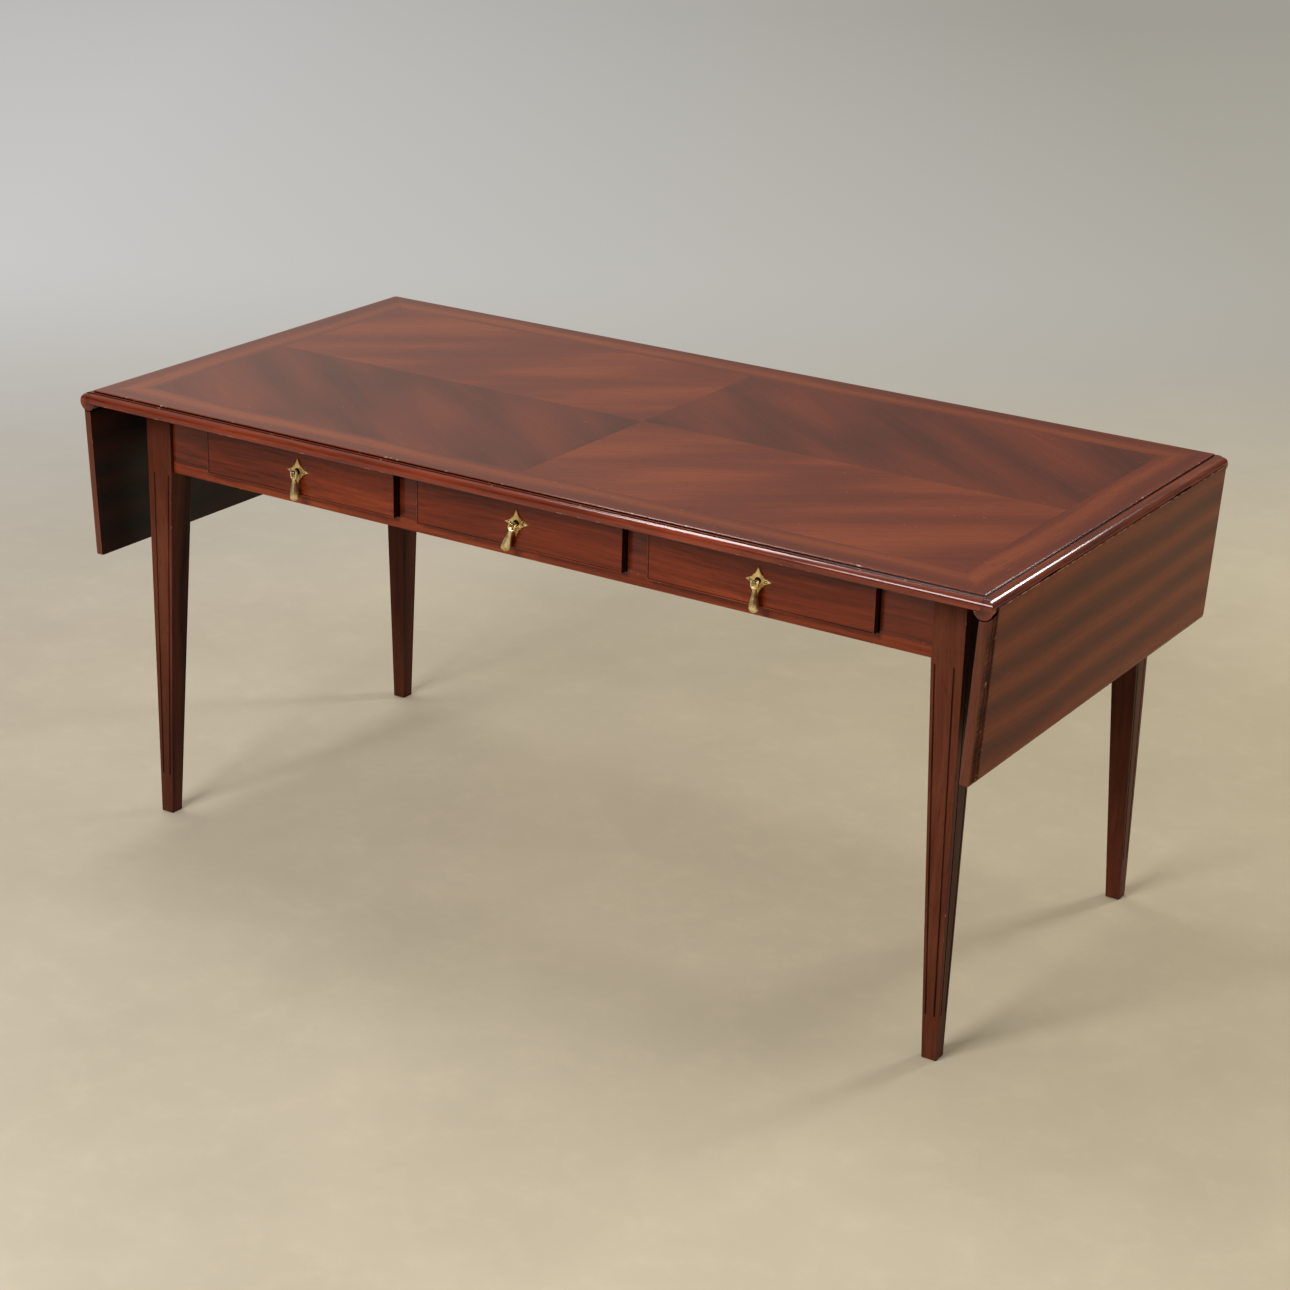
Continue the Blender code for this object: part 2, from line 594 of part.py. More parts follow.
def build_bearer(name, sign, lining):
    """Bar that draws out through the end rail, with a wide head as its stop."""
    pivot = make_pivot(name + "_bearer_slide", (sign * END_OUTER, 0, BEARER_LOW))
    tail = -BEARER_LENGTH
    neck = tail + BEARER_HEAD_LENGTH
    half = BEARER_WIDTH / 2
    head = BEARER_HEAD_WIDTH / 2
    outline = [
        (0, -half), (0, half), (neck, half), (neck, head),
        (tail, head), (tail, -head), (neck, -head), (neck, -half),
    ]
    bar = prism([(sign * u, v) for u, v in outline], "Z", 0, BEARER_HEIGHT)
    make_piece(name + "_bearer", bar, lining, pivot)


def build_drawer(name, centre, wood, lining, brass):
    """Drawer front, box and pull, carried by an empty at the middle of the face."""
    slide = make_pivot(name + "_drawer_slide", (centre, DRAWER_FACE, PULL_Z))
    build_drawer_front(name, wood, slide)
    build_drawer_box(name, lining, slide)
    lean = CENTRE_DROP_LEAN if name == "centre" else 0.0
    build_pull(name, lean, brass, slide)


def in_drawer(bm):
    """Move a shape from the table's own place to the place of a drawer's empty."""
    bmesh.ops.translate(bm, verts=bm.verts, vec=(0, -DRAWER_FACE, -PULL_Z))
    return bm


def build_drawer_front(name, wood, slide):
    """Front with a cockbead round it, a groove for the bottom and a hole for the post."""
    across = (-DRAWER_HALF, DRAWER_HALF)
    bm = block(across, (DRAWER_FACE - COCKBEAD_PROUD, DRAWER_BACK), (DRAWER_LOW, DRAWER_HIGH))
    bm.normal_update()
    face = min(bm.faces, key=lambda item: item.calc_center_median().y)
    bmesh.ops.inset_region(bm, faces=[face], thickness=COCKBEAD_WIDTH)
    bmesh.ops.translate(bm, verts=face.verts, vec=(0, COCKBEAD_PROUD, 0))
    front = make_piece(name + "_drawer_front", in_drawer(bm), wood, slide)
    half = BOX_INNER + BOX_GROOVE_DEPTH
    deep = (DRAWER_BACK - BOX_GROOVE_DEPTH, DRAWER_BACK + BOX_GROOVE_DEPTH)
    groove = block((-half, half), deep, (PANEL_LOW - GLUE_GAP, PANEL_HIGH + GLUE_GAP))
    shape_with(front, "DIFFERENCE", in_drawer(groove))
    hole = rod("Y", Vector((0, 0, PULL_Z)), POST_RADIUS + POST_CLEARANCE, PLATE_FACE, BOX_END)
    shape_with(front, "DIFFERENCE", in_drawer(hole))


def build_drawer_box(name, lining, slide):
    """Two sides grooved for the bottom, the back on top of it and the bottom itself."""
    groove = (PANEL_LOW - GLUE_GAP, PANEL_HIGH + GLUE_GAP)
    deep = BOX_INNER + BOX_GROOVE_DEPTH
    section = [
        (BOX_HALF, BOX_LOW), (BOX_HALF, BOX_HIGH), (BOX_INNER, BOX_HIGH), (BOX_INNER, groove[1]),
        (deep, groove[1]), (deep, groove[0]), (BOX_INNER, groove[0]), (BOX_INNER, BOX_LOW),
    ]
    for side, sign in SIDES.items():
        board = prism([(sign * u, v) for u, v in section], "Y", BOX_START, BOX_END)
        make_piece(f"{name}_drawer_{side}_side", in_drawer(board), lining, slide)
    within = (-BOX_INNER + GLUE_GAP, BOX_INNER - GLUE_GAP)
    rear = (BOX_END - BOX_SIDE_THICKNESS, BOX_END)
    back = block(within, rear, (groove[1], BOX_HIGH - BOX_BACK_DROP))
    make_piece(name + "_drawer_back", in_drawer(back), lining, slide)
    tongue = deep - GLUE_GAP
    start = DRAWER_BACK - BOX_GROOVE_DEPTH + GLUE_GAP
    bottom = block((-tongue, tongue), (start, BOX_END), (PANEL_LOW, PANEL_HIGH))
    make_piece(name + "_drawer_bottom", in_drawer(bottom), lining, slide)


def build_pull(name, lean, brass, slide):
    """Back plate, post and hanging drop of one pull."""
    middle = Vector((0, 0, PULL_Z))
    plate = make_piece(name + "_pull_plate", in_drawer(star_plate()), brass, slide)
    hole = rod("Y", middle, POST_RADIUS + POST_CLEARANCE, PULL_PIVOT_Y, DRAWER_BACK)
    shape_with(plate, "DIFFERENCE", in_drawer(hole))
    build_post(name, lean, brass, slide)
    pivot = make_pivot(name + "_drop_pivot", (0, PULL_PIVOT_Y - DRAWER_FACE, 0), slide)
    pivot.rotation_euler = (0, lean, 0)
    build_drop(name, brass, pivot)


def star_plate():
    """Plate with four points, hollow sides and a small notch between the points."""
    outline = []
    for quarter in range(4):
        start = quarter * math.pi / 2
        rise = half_point(start, 1)
        fall = half_point(start + math.pi / 2, -1)
        middle = start + math.pi / 4
        outline += rise + [(PLATE_NOTCH * math.cos(middle), PLATE_NOTCH * math.sin(middle))] + fall
    outline = [(u, v + PULL_Z) for u, v in outline]
    return prism(outline, "Y", PLATE_BACK, PLATE_FACE)


def half_point(tip_angle, way):
    """One hollow side of a star's point, in the order the outline runs."""
    waist_angle = tip_angle + way * (math.pi / 4 - PLATE_NOTCH_TURN)
    tip = Vector((math.cos(tip_angle), math.sin(tip_angle))) * PLATE_RADIUS
    waist = Vector((math.cos(waist_angle), math.sin(waist_angle))) * PLATE_WAIST
    inward = -((tip + waist) / 2).normalized() * PLATE_HOLLOW
    points = []
    for step in range(PLATE_ARC_STEPS + 1):
        share = step / PLATE_ARC_STEPS
        points.append(tuple(tip.lerp(waist, share) + inward * 4 * share * (1 - share)))
    return points if way > 0 else points[:0:-1]


def build_post(name, lean, brass, slide):
    """Bolt through the front, with a nut behind and a drilled ball in front."""
    centre = Vector((0, 0, PULL_Z))
    nut = DRAWER_BACK + GLUE_GAP
    end = nut + POST_NUT_THICKNESS
    shoulder = math.asin(POST_RADIUS / POST_BALL_RADIUS)
    ball = arc((PULL_PIVOT_Y, 0), POST_BALL_RADIUS, math.pi, shoulder, DROP_RINGS)
    shank = [(nut, POST_RADIUS), (nut, POST_NUT_RADIUS), (end, POST_NUT_RADIUS), (end, 0)]
    bm = in_drawer(turned(ball + shank, "Y", centre, ROUND_SEGMENTS))
    post = make_piece(name + "_pull_post", bm, brass, slide, smooth=True)
    post.rotation_euler = (0, lean, 0)
    pivot = Vector((0, PULL_PIVOT_Y - DRAWER_FACE, 0))
    reach = 2 * POST_BALL_RADIUS
    bore = CROSS_PIN_RADIUS + POST_CLEARANCE
    shape_with(post, "DIFFERENCE", rod("X", pivot, bore, -reach, reach, BORE_SEGMENTS))


def build_drop(name, brass, pivot):
    """Turned drop with a fork at its top and a pin through the post's ball."""
    top = -FORK_DROP + FORK_CHEEK
    neck = -FORK_DROP
    bell = neck - DROP_FLARE
    profile = [(top, 0), (top, DROP_NECK_RADIUS), (neck, DROP_NECK_RADIUS)]
    for ring in range(1, DROP_RINGS + 1):
        share = ring / DROP_RINGS
        swell = share * share * (3 - 2 * share)
        radius = DROP_NECK_RADIUS + (DROP_BELL_RADIUS - DROP_NECK_RADIUS) * swell
        profile.append((neck - DROP_FLARE * share, radius))
    for ring in range(1, DROP_RINGS + 1):
        angle = ring / DROP_RINGS * math.pi / 2
        profile.append((bell - DROP_BASE * math.sin(angle), DROP_BELL_RADIUS * math.cos(angle)))
    profile[-1] = (bell - DROP_BASE, 0)
    bell_shape = turned(profile, "Z", Vector(), DROP_SEGMENTS)
    drop = make_piece(name + "_pull_drop", bell_shape, brass, pivot, smooth=True)
    inner = POST_BALL_RADIUS + FORK_GAP
    outer = inner + FORK_CHEEK
    fork = [
        (-outer, FORK_RISE), (-outer, -FORK_SEAT), (-DROP_NECK_RADIUS, -FORK_DROP),
        (DROP_NECK_RADIUS, -FORK_DROP), (outer, -FORK_SEAT), (outer, FORK_RISE),
        (inner, FORK_RISE), (inner, -FORK_SEAT), (-inner, -FORK_SEAT), (-inner, FORK_RISE),
    ]
    shape_with(drop, "UNION", prism(fork, "Y", -FORK_WIDTH / 2, FORK_WIDTH / 2))
    shape_with(drop, "UNION", rod("X", Vector(), CROSS_PIN_RADIUS, -outer, outer))


def build_table():
    """Make every piece of the table."""
    clear_scene()
    wood = make_material("mahogany", (0.16, 0.045, 0.025), 0.28)
    lining = make_material("drawer_lining", (0.42, 0.27, 0.15), 0.6)
    brass = make_material("aged_brass", (0.55, 0.42, 0.18), 0.35, 1.0)
    build_top(wood)
    build_legs(wood)
    build_frieze(wood, lining)
    for name, sign in SIDES.items():
        build_leaf(name, sign, wood, brass)
        build_bearer(name, sign, lining)
    for number, name in enumerate(DRAWER_NAMES):
        build_drawer(name, number * DRAWER_PITCH - LAST_DRAWER, wood, lining, brass)


build_table()
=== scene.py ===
"""Looks of a drop-leaf coffee table in lacquered mahogany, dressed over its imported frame.

Every finished piece is modelled in the table's own frame, in metres, and rides on the body that
carries it. X runs along the table, the drawers face -Y and Z is up.
"""
from __future__ import annotations

import json
import logging
import math
from collections.abc import Callable, Iterable, Sequence
from dataclasses import dataclass
from enum import Enum

import bmesh
import bpy
from bmesh.types import BMEdge, BMesh, BMFace, BMLayerItem, BMVert
from bpy.types import ID, Material, Mesh, Node, NodeSocket, NodeTree, Object
from mathutils import Matrix, Vector

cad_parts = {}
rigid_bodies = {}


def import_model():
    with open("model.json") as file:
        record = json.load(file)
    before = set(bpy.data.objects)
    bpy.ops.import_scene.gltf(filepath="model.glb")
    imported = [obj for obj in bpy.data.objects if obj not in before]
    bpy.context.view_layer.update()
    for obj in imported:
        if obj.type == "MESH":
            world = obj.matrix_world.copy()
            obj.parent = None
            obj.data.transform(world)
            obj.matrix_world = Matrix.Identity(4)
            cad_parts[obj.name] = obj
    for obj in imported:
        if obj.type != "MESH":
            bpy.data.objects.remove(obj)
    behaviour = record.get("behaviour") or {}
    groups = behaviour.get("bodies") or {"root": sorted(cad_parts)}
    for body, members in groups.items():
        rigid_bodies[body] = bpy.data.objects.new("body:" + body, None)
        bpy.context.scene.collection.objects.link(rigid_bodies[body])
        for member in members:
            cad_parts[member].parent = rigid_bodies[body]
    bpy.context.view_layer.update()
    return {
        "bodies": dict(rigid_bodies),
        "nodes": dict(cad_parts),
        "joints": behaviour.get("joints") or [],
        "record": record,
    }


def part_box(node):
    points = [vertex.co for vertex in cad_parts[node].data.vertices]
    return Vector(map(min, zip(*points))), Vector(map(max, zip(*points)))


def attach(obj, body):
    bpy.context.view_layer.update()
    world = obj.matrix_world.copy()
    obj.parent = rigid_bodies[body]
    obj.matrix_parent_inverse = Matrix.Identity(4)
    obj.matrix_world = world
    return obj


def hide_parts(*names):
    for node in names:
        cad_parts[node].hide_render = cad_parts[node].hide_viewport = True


LOG = logging.getLogger("coffee_table")
Point = tuple[float, float]
Triple = tuple[float, float, float]
MM = 0.001
MERGE_DISTANCE = 0.000002
END_TUCK = 0.05 * MM
CUT_ROOM = 48.0 * MM
QUARTER_TURN = math.pi / 2
SHARP_ANGLE = math.radians(50)
SOFT_ANGLE = math.radians(28)
VIEW_TURN = math.radians(32.433)
X_WAY = Vector((1.0, 0.0, 0.0))
Y_WAY = Vector((0.0, 1.0, 0.0))
Z_WAY = Vector((0.0, 0.0, 1.0))

# Shares of a face's normal along a direction
FULLY = 0.95
SQUARELY = 0.9
MOSTLY = 0.7
HALFWAY = 0.5
PARTLY = 0.3
BARELY = 0.1

# Layers of the meshes, and what is written in them
GRAIN_MAP = "grain"
# The wear layer holds real chips and pale lines painted as highlights on the crest, the lip and the cove's
# rims
WEAR_AND_GLINT_LAYER = "wear"
TONE_LAYER = "tone"
WORN = 1.0
CREST_WEAR_AND_GLINT = 0.9
LIP_GLINT = 1.5
# Painted shade: DEEP_SHADE_TONE darkens undersides, the cove and quirks to near black, SHADE_TONE darkens
# risers and recesses
DEEP_SHADE_TONE = -1.5
SHADE_TONE = -1.0
PLAIN_TONE = 0.0
# Brass tone for painted shade
SHADED_BRASS = 1.0

# Places of a piece's finishes, after the first
BORDER_PLACE = 1
SHADED_UNDERSIDE_PLACE = 1
EDGE_PLACE = 2

# Middle of a noise or of a scale of tones, and the wave texture's scale for one band to a metre
MIDDLE = 0.5
ONE_BAND = math.tau / 20

# Sockets of the mix node that carry its share and its colours
MIX_SHARE = 0
MIX_FIRST = 6
MIX_SECOND = 7
MIX_RESULT = 2

# Ends of the table with their directions along X, and names of the drawers
SIDES = {"left": -1, "right": 1}
DRAWERS = ("left", "centre", "right")


class Slot(Enum):
    """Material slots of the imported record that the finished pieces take."""

    VENEER = "mahogany_veneer"
    SOLID = "mahogany_solid"
    BRASS = "aged_brass"


class Grain(Enum):
    """Ways a board's grain can run, each with the turn that lays it along X."""

    ALONG_X = (0.0, 0.0, 0.0)
    ALONG_Y = (0.0, 0.0, -QUARTER_TURN)
    UPRIGHT = (0.0, QUARTER_TURN, 0.0)
    SHEET = None


class Figure(Enum):
    """Figure of the wood: even ribbons from quartered logs, or broken ribbons from a curved stem."""

    EVEN = "even"
    BROKEN = "broken"


def linear(code: str) -> tuple[float, float, float, float]:
    """Turn an sRGB hex value into a linear colour.

    Args:
        code: A hash and six hex digits.

    Returns:
        Linear red, green and blue, and an alpha of one.
    """
    shares = [int(code[place:place + 2], 16) / 255 for place in (1, 3, 5)]
    bent = [share / 12.92 if share <= 0.04045 else ((share + 0.055) / 1.055) ** 2.4 for share in shares]
    return (*bent, 1.0)


@dataclass(frozen=True)
class Graph:
    """Shader nodes of one finish, added by what they do."""

    tree: NodeTree

    def wire(self, node: Node, inputs: dict) -> None:
        """Set and link the inputs of a node.

        Args:
            node: Node that gets them.
            inputs: Values, or sockets to link, by the name or number of the input.
        """
        for key, value in inputs.items():
            if isinstance(value, NodeSocket):
                self.tree.links.new(value, node.inputs[key])
            else:
                node.inputs[key].default_value = value

    def add(self, kind: str, inputs: dict | None = None, **settings: str | bool) -> Node:
        """Add one node.

        Args:
            kind: Type of the node.
            inputs: Values, or sockets to link, by the name or number of the input.
            settings: Other attributes of the node.

        Returns:
            The new node.
        """
        node = self.tree.nodes.new(kind)
        for key, value in settings.items():
            setattr(node, key, value)
        self.wire(node, inputs or {})
        return node

    def place(self) -> NodeSocket:
        """Give the coordinates of the object, in metres."""
        return self.add("ShaderNodeTexCoord").outputs["Object"]

    def layer(self, name: str) -> NodeSocket:
        """Give the values of a face layer."""
        return self.add("ShaderNodeAttribute", attribute_name=name).outputs["Fac"]

    def mapped(self, place: NodeSocket, changes: dict[str, Triple]) -> NodeSocket:
        """Move, turn or stretch coordinates."""
        return self.add("ShaderNodeMapping", {"Vector": place, **changes}).outputs["Vector"]

    def noise(
        self, place: NodeSocket, scale: float, detail: float = 2.0, rough: float = 0.5, output: str = "Fac",
    ) -> NodeSocket:
        """Draw cloudy noise at coordinates."""
        values = {"Vector": place, "Scale": scale, "Detail": detail, "Roughness": rough}
        return self.add("ShaderNodeTexNoise", values).outputs[output]

    def spread(
        self, value: NodeSocket, limits: Point, least: float = 0.0, most: float = 1.0, soft: bool = False,
    ) -> NodeSocket:
        """Stretch what lies between two limits over another range.

        Args:
            value: Values to stretch.
            limits: Where the range starts and ends.
            least: What the first limit becomes.
            most: What the second limit becomes.
            soft: Whether the range starts and ends gently.

        Returns:
            Socket with the stretched values.
        """
        low, high = limits
        values = {"Value": value, "From Min": low, "From Max": high, "To Min": least, "To Max": most}
        kind = "SMOOTHSTEP" if soft else "LINEAR"
        return self.add("ShaderNodeMapRange", values, interpolation_type=kind).outputs["Result"]

    def mix(self, share: NodeSocket, first: NodeSocket | str, second: NodeSocket | str) -> NodeSocket:
        """Mix two colours.

        Args:
            share: Share of the second colour.
            first: Socket or sRGB hex value of the first colour.
            second: Socket or sRGB hex value of the second colour.

        Returns:
            Socket with the mixed colour.
        """
        values = {MIX_SHARE: share}
        for place, colour in ((MIX_FIRST, first), (MIX_SECOND, second)):
            values[place] = linear(colour) if isinstance(colour, str) else colour
        return self.add("ShaderNodeMix", values, data_type="RGBA").outputs[MIX_RESULT]

    def ramp(self, value: NodeSocket, stops: Iterable[tuple[float, str]]) -> NodeSocket:
        """Turn values into colours.

        Args:
            value: Values to turn.
            stops: Places and sRGB hex values, in rising order.

        Returns:
            Socket with the colours.
        """
        node = self.add("ShaderNodeValToRGB", {"Fac": value})
        elements = node.color_ramp.elements
        ready = len(elements)
        for number, (place, colour) in enumerate(stops):
            stop = elements[number] if number < ready else elements.new(place)
            stop.position = place
            stop.color = linear(colour)
        return node.outputs["Color"]

    def number(self, operation: str, *values: NodeSocket | float) -> NodeSocket:
        """Work out one number from others."""
        return self.add("ShaderNodeMath", dict(enumerate(values)), operation=operation).outputs["Value"]

    def vector(self, operation: str, *values: NodeSocket | Triple) -> NodeSocket:
        """Work out one vector from others."""
        node = self.add("ShaderNodeVectorMath", dict(enumerate(values)), operation=operation)
        return node.outputs["Vector"]

    def toward(self, way: NodeSocket, aim: Triple) -> NodeSocket:
        """Give how far a direction points toward an aim."""
        node = self.add("ShaderNodeVectorMath", {0: way, 1: aim}, operation="DOT_PRODUCT")
        return node.outputs["Value"]

    def bump(self, height: NodeSocket, strength: float, distance: float, invert: bool = False) -> NodeSocket:
        """Bend the normals by a height."""
        values = {"Height": height, "Strength": strength, "Distance": distance}
        return self.add("ShaderNodeBump", values, invert=invert).outputs["Normal"]


def new_finish(name: str) -> tuple[Material, Graph, Node]:
    """Start a material.

    Args:
        name: Name of the material.

    Returns:
        The material, its graph and its shader.
    """
    material = bpy.data.materials.new(name)
    material.use_nodes = True
    tree = material.node_tree
    return material, Graph(tree), tree.nodes["Principled BSDF"]


@dataclass(frozen=True)
class Mahogany:
    """Mahogany under brushed lacquer: ribbon figure, long streaks, short pores and a soft gloss.

    The lacquer gives the eye a soft reflection over a red-brown ground. Pores are drawn about
    three times their real width, because the real ones are too fine to show.
    """

    name: str
    grain: Grain
    figure: Figure = Figure.EVEN
    # Darkest stop of the tones: the darkest grain, and the colour of shade painted into recesses and shaded
    # sides
    darkest_and_shade: str = "#0E0403"
    dark: str = "#360F06"
    middle: str = "#742C13"
    light: str = "#A34C22"
    worn: str = "#C39468"
    stops: tuple[float, float, float, float] = (0.0, 0.1, 0.5, 0.92)
    lift: float = 0.0
    wander_scale: float = 3.5
    wander_detail: float = 1.0
    sway: Triple = (0.0, 0.03, 0.03)
    stretch: float = 0.22
    ribbon_mm: float = 40.0
    ribbon_share: float = 0.3
    ribbon_drift: float = 2.2
    ribbon_phase: float = 0.0
    ribbon_detail: float = 2.0
    ribbon_detail_scale: float = 0.6
    broken_detail: float = 1.5
    broken_rough: float = 0.4
    broken_limits: Point = (0.32, 0.66)
    mark_scale: float = 0.5
    mark_rough: float = 0.6
    streak_mm: float = 3.0
    streak_length: float = 26.0
    streak_detail: float = 5.0
    streak_share: float = 0.9
    streak_limits: Point = (0.3, 0.7)
    mottle_mm: float = 160.0
    mottle_share: float = 0.35
    pore_mm: float = 0.7
    pore_length: float = 11.0
    pore_detail: float = 2.0
    pore_limits: Point = (0.56, 0.74)
    pore_depth: float = 0.45
    pore_bump: float = 0.35
    pore_relief: float = 0.05 * MM
    rough_low: float = 0.15
    rough_high: float = 0.2
    rubbed: float = 0.0
    chip_scale: float = 95.0
    chip_detail: float = 3.0
    chip_start: float = 0.62
    chip_run: float = 0.08
    chip_weight: float = 0.3
    chip_cover: float = 0.75
    speck_mm: float = 4.0
    speck_limits: Point = (0.74, 0.80)
    speck_share: float = 0.0
    ior: float = 1.4
    gloss: float = 0.5
    seed: float = 0.0

    def build(self) -> Material:
        """Build the material from its sizes and colours.

        Returns:
            The finished material.
        """
        material, graph, shader = new_finish(self.name)
        flow = self._flow(graph)
        streak = self._marks(graph, flow, self.streak_mm, self.streak_length, self.streak_detail)
        pore = self._marks(graph, flow, self.pore_mm, self.pore_length, self.pore_detail)
        colours = (self.darkest_and_shade, self.dark, self.middle, self.light)
        ground = graph.ramp(self._tone(graph, flow, streak), zip(self.stops, colours))
        pits = graph.spread(pore, self.pore_limits, most=self.pore_depth)
        colour = graph.mix(self._wear(graph), graph.mix(pits, ground, self.dark), self.worn)
        if self.speck_share:
            colour = self._specks(graph, colour)
        gloss = graph.spread(streak, self.streak_limits, self.rough_low, self.rough_high)
        graph.wire(shader, {
            "Base Color": colour,
            "Roughness": graph.number("MULTIPLY_ADD", graph.layer(WEAR_AND_GLINT_LAYER), self.rubbed, gloss),
            "Normal": graph.bump(pits, self.pore_bump, self.pore_relief, invert=True),
            "IOR": self.ior,
            "Specular IOR Level": self.gloss,
        })
        return material

    def _flow(self, graph: Graph) -> NodeSocket:
        """Lay out coordinates in metres with the grain along X.

        Args:
            graph: Graph of the material.

        Returns:
            Socket of the laid coordinates, bent a little as real grain is.
        """
        if self.grain is Grain.SHEET:
            laid = graph.add("ShaderNodeUVMap", uv_map=GRAIN_MAP).outputs["UV"]
        else:
            changes = {"Rotation": self.grain.value, "Location": (self.seed,) * 3}
            laid = graph.mapped(graph.place(), changes)
        wander = graph.noise(laid, self.wander_scale, self.wander_detail, output="Color")
        centred = graph.vector("SUBTRACT", wander, (MIDDLE,) * 3)
        return graph.vector("ADD", laid, graph.vector("MULTIPLY", centred, self.sway))

    def _marks(
        self, graph: Graph, flow: NodeSocket, width_mm: float, length: float, detail: float,
    ) -> NodeSocket:
        """Draw marks that are longer along the grain than across it.

        Args:
            graph: Graph of the material.
            flow: Coordinates with the grain along X.
            width_mm: Width of a mark across the grain.
            length: Length of a mark in widths.
            detail: Detail of the noise.

        Returns:
            Socket with the strength of the marks.
        """
        across = 1 / (width_mm * MM)
        scaled = graph.mapped(flow, {"Scale": (across / length, across, across)})
        return graph.noise(scaled, self.mark_scale, detail, self.mark_rough)

    def _tone(self, graph: Graph, flow: NodeSocket, streak: NodeSocket) -> NodeSocket:
        """Add up ribbons, streaks and broad patches over the tone layer, which holds end-grain tones, painted
        shade and painted sheen.

        Args:
            graph: Graph of the material.
            flow: Coordinates with the grain along X.
            streak: Strength of the long streaks.

        Returns:
            Socket with the tone, from dark to light.
        """
        stretched = graph.mapped(flow, {"Scale": (self.stretch, 1.0, 1.0)})
        ribbon = self._ribbons(graph, stretched)
        patch = graph.noise(stretched, 1 / (self.mottle_mm * MM))
        shares = (self.ribbon_share, self.streak_share, self.mottle_share)
        total = graph.number("ADD", graph.layer(TONE_LAYER), MIDDLE + self.lift - sum(shares) / 2)
        for mark, share in zip((ribbon, streak, patch), shares):
            total = graph.number("MULTIPLY_ADD", mark, share, total)
        return total

    def _ribbons(self, graph: Graph, stretched: NodeSocket) -> NodeSocket:
        """Draw the broad bands of the figure.

        Args:
            graph: Graph of the material.
            stretched: Coordinates drawn out along the grain.

        Returns:
            Socket with the strength of the bands.
        """
        width = self.ribbon_mm * MM
        if self.figure is Figure.BROKEN:
            broken = graph.noise(stretched, 1 / width, self.broken_detail, self.broken_rough)
            return graph.spread(broken, self.broken_limits, soft=True)
        wave = {
            "Vector": stretched, "Scale": ONE_BAND / width, "Distortion": self.ribbon_drift,
            "Detail": self.ribbon_detail, "Detail Scale": self.ribbon_detail_scale,
            "Phase Offset": self.ribbon_phase,
        }
        style = {"wave_type": "BANDS", "bands_direction": "Y", "wave_profile": "SIN"}
        return graph.add("ShaderNodeTexWave", wave, **style).outputs["Fac"]

    def _specks(self, graph: Graph, under: NodeSocket) -> NodeSocket:
        """Scatter small pale nicks over a colour."""
        dots = graph.noise(graph.place(), 1 / (self.speck_mm * MM))
        return graph.mix(graph.spread(dots, self.speck_limits, most=self.speck_share), under, self.worn)

    def _wear(self, graph: Graph) -> NodeSocket:
        """Chip the lacquer in short runs along the arrises.

        Args:
            graph: Graph of the material.

        Returns:
            Socket that is above zero where bare wood shows.
        """
        chips = graph.noise(graph.place(), self.chip_scale, self.chip_detail)
        rubbed = graph.number("MULTIPLY_ADD", graph.layer(WEAR_AND_GLINT_LAYER), self.chip_weight, chips)
        start = self.chip_start + self.chip_weight
        return graph.spread(rubbed, (start, start + self.chip_run), most=self.chip_cover)


@dataclass(frozen=True)
class AgedBrass:
    """Cast brass, once polished: bright, with brown tarnish in patches, and near black where the tone layer
    paints shade.
    """

    name: str = "aged_cast_brass"
    bright: str = "#F3D796"
    dull: str = "#E2BE78"
    tarnish: str = "#A3824A"
    # Near black that the tone layer mixes in, as painted shade
    darkest_and_shade: str = "#140D06"
    stops: Triple = (0.30, 0.44, 0.58)
    patch_mm: float = 9.0
    patch_detail: float = 4.0
    patch_limits: Point = (0.3, 0.65)
    grit_mm: float = 0.6
    grit_bump: float = 0.15
    grit_depth: float = 0.04 * MM
    rough_low: float = 0.4
    rough_high: float = 0.5

    def build(self) -> Material:
        """Build the material from its sizes and colours.

        Returns:
            The finished material.
        """
        material, graph, shader = new_finish(self.name)
        place = graph.place()
        patch = graph.noise(place, 1 / (self.patch_mm * MM), self.patch_detail)
        grit = graph.noise(place, 1 / (self.grit_mm * MM))
        clean = graph.ramp(patch, zip(self.stops, (self.tarnish, self.dull, self.bright)))
        graph.wire(shader, {
            # The tone layer mixes in near black as painted shade
            "Base Color": graph.mix(graph.layer(TONE_LAYER), clean, self.darkest_and_shade),
            "Roughness": graph.spread(patch, self.patch_limits, self.rough_high, self.rough_low),
            "Normal": graph.bump(grit, self.grit_bump, self.grit_depth),
            "Metallic": 1.0,
        })
        return material


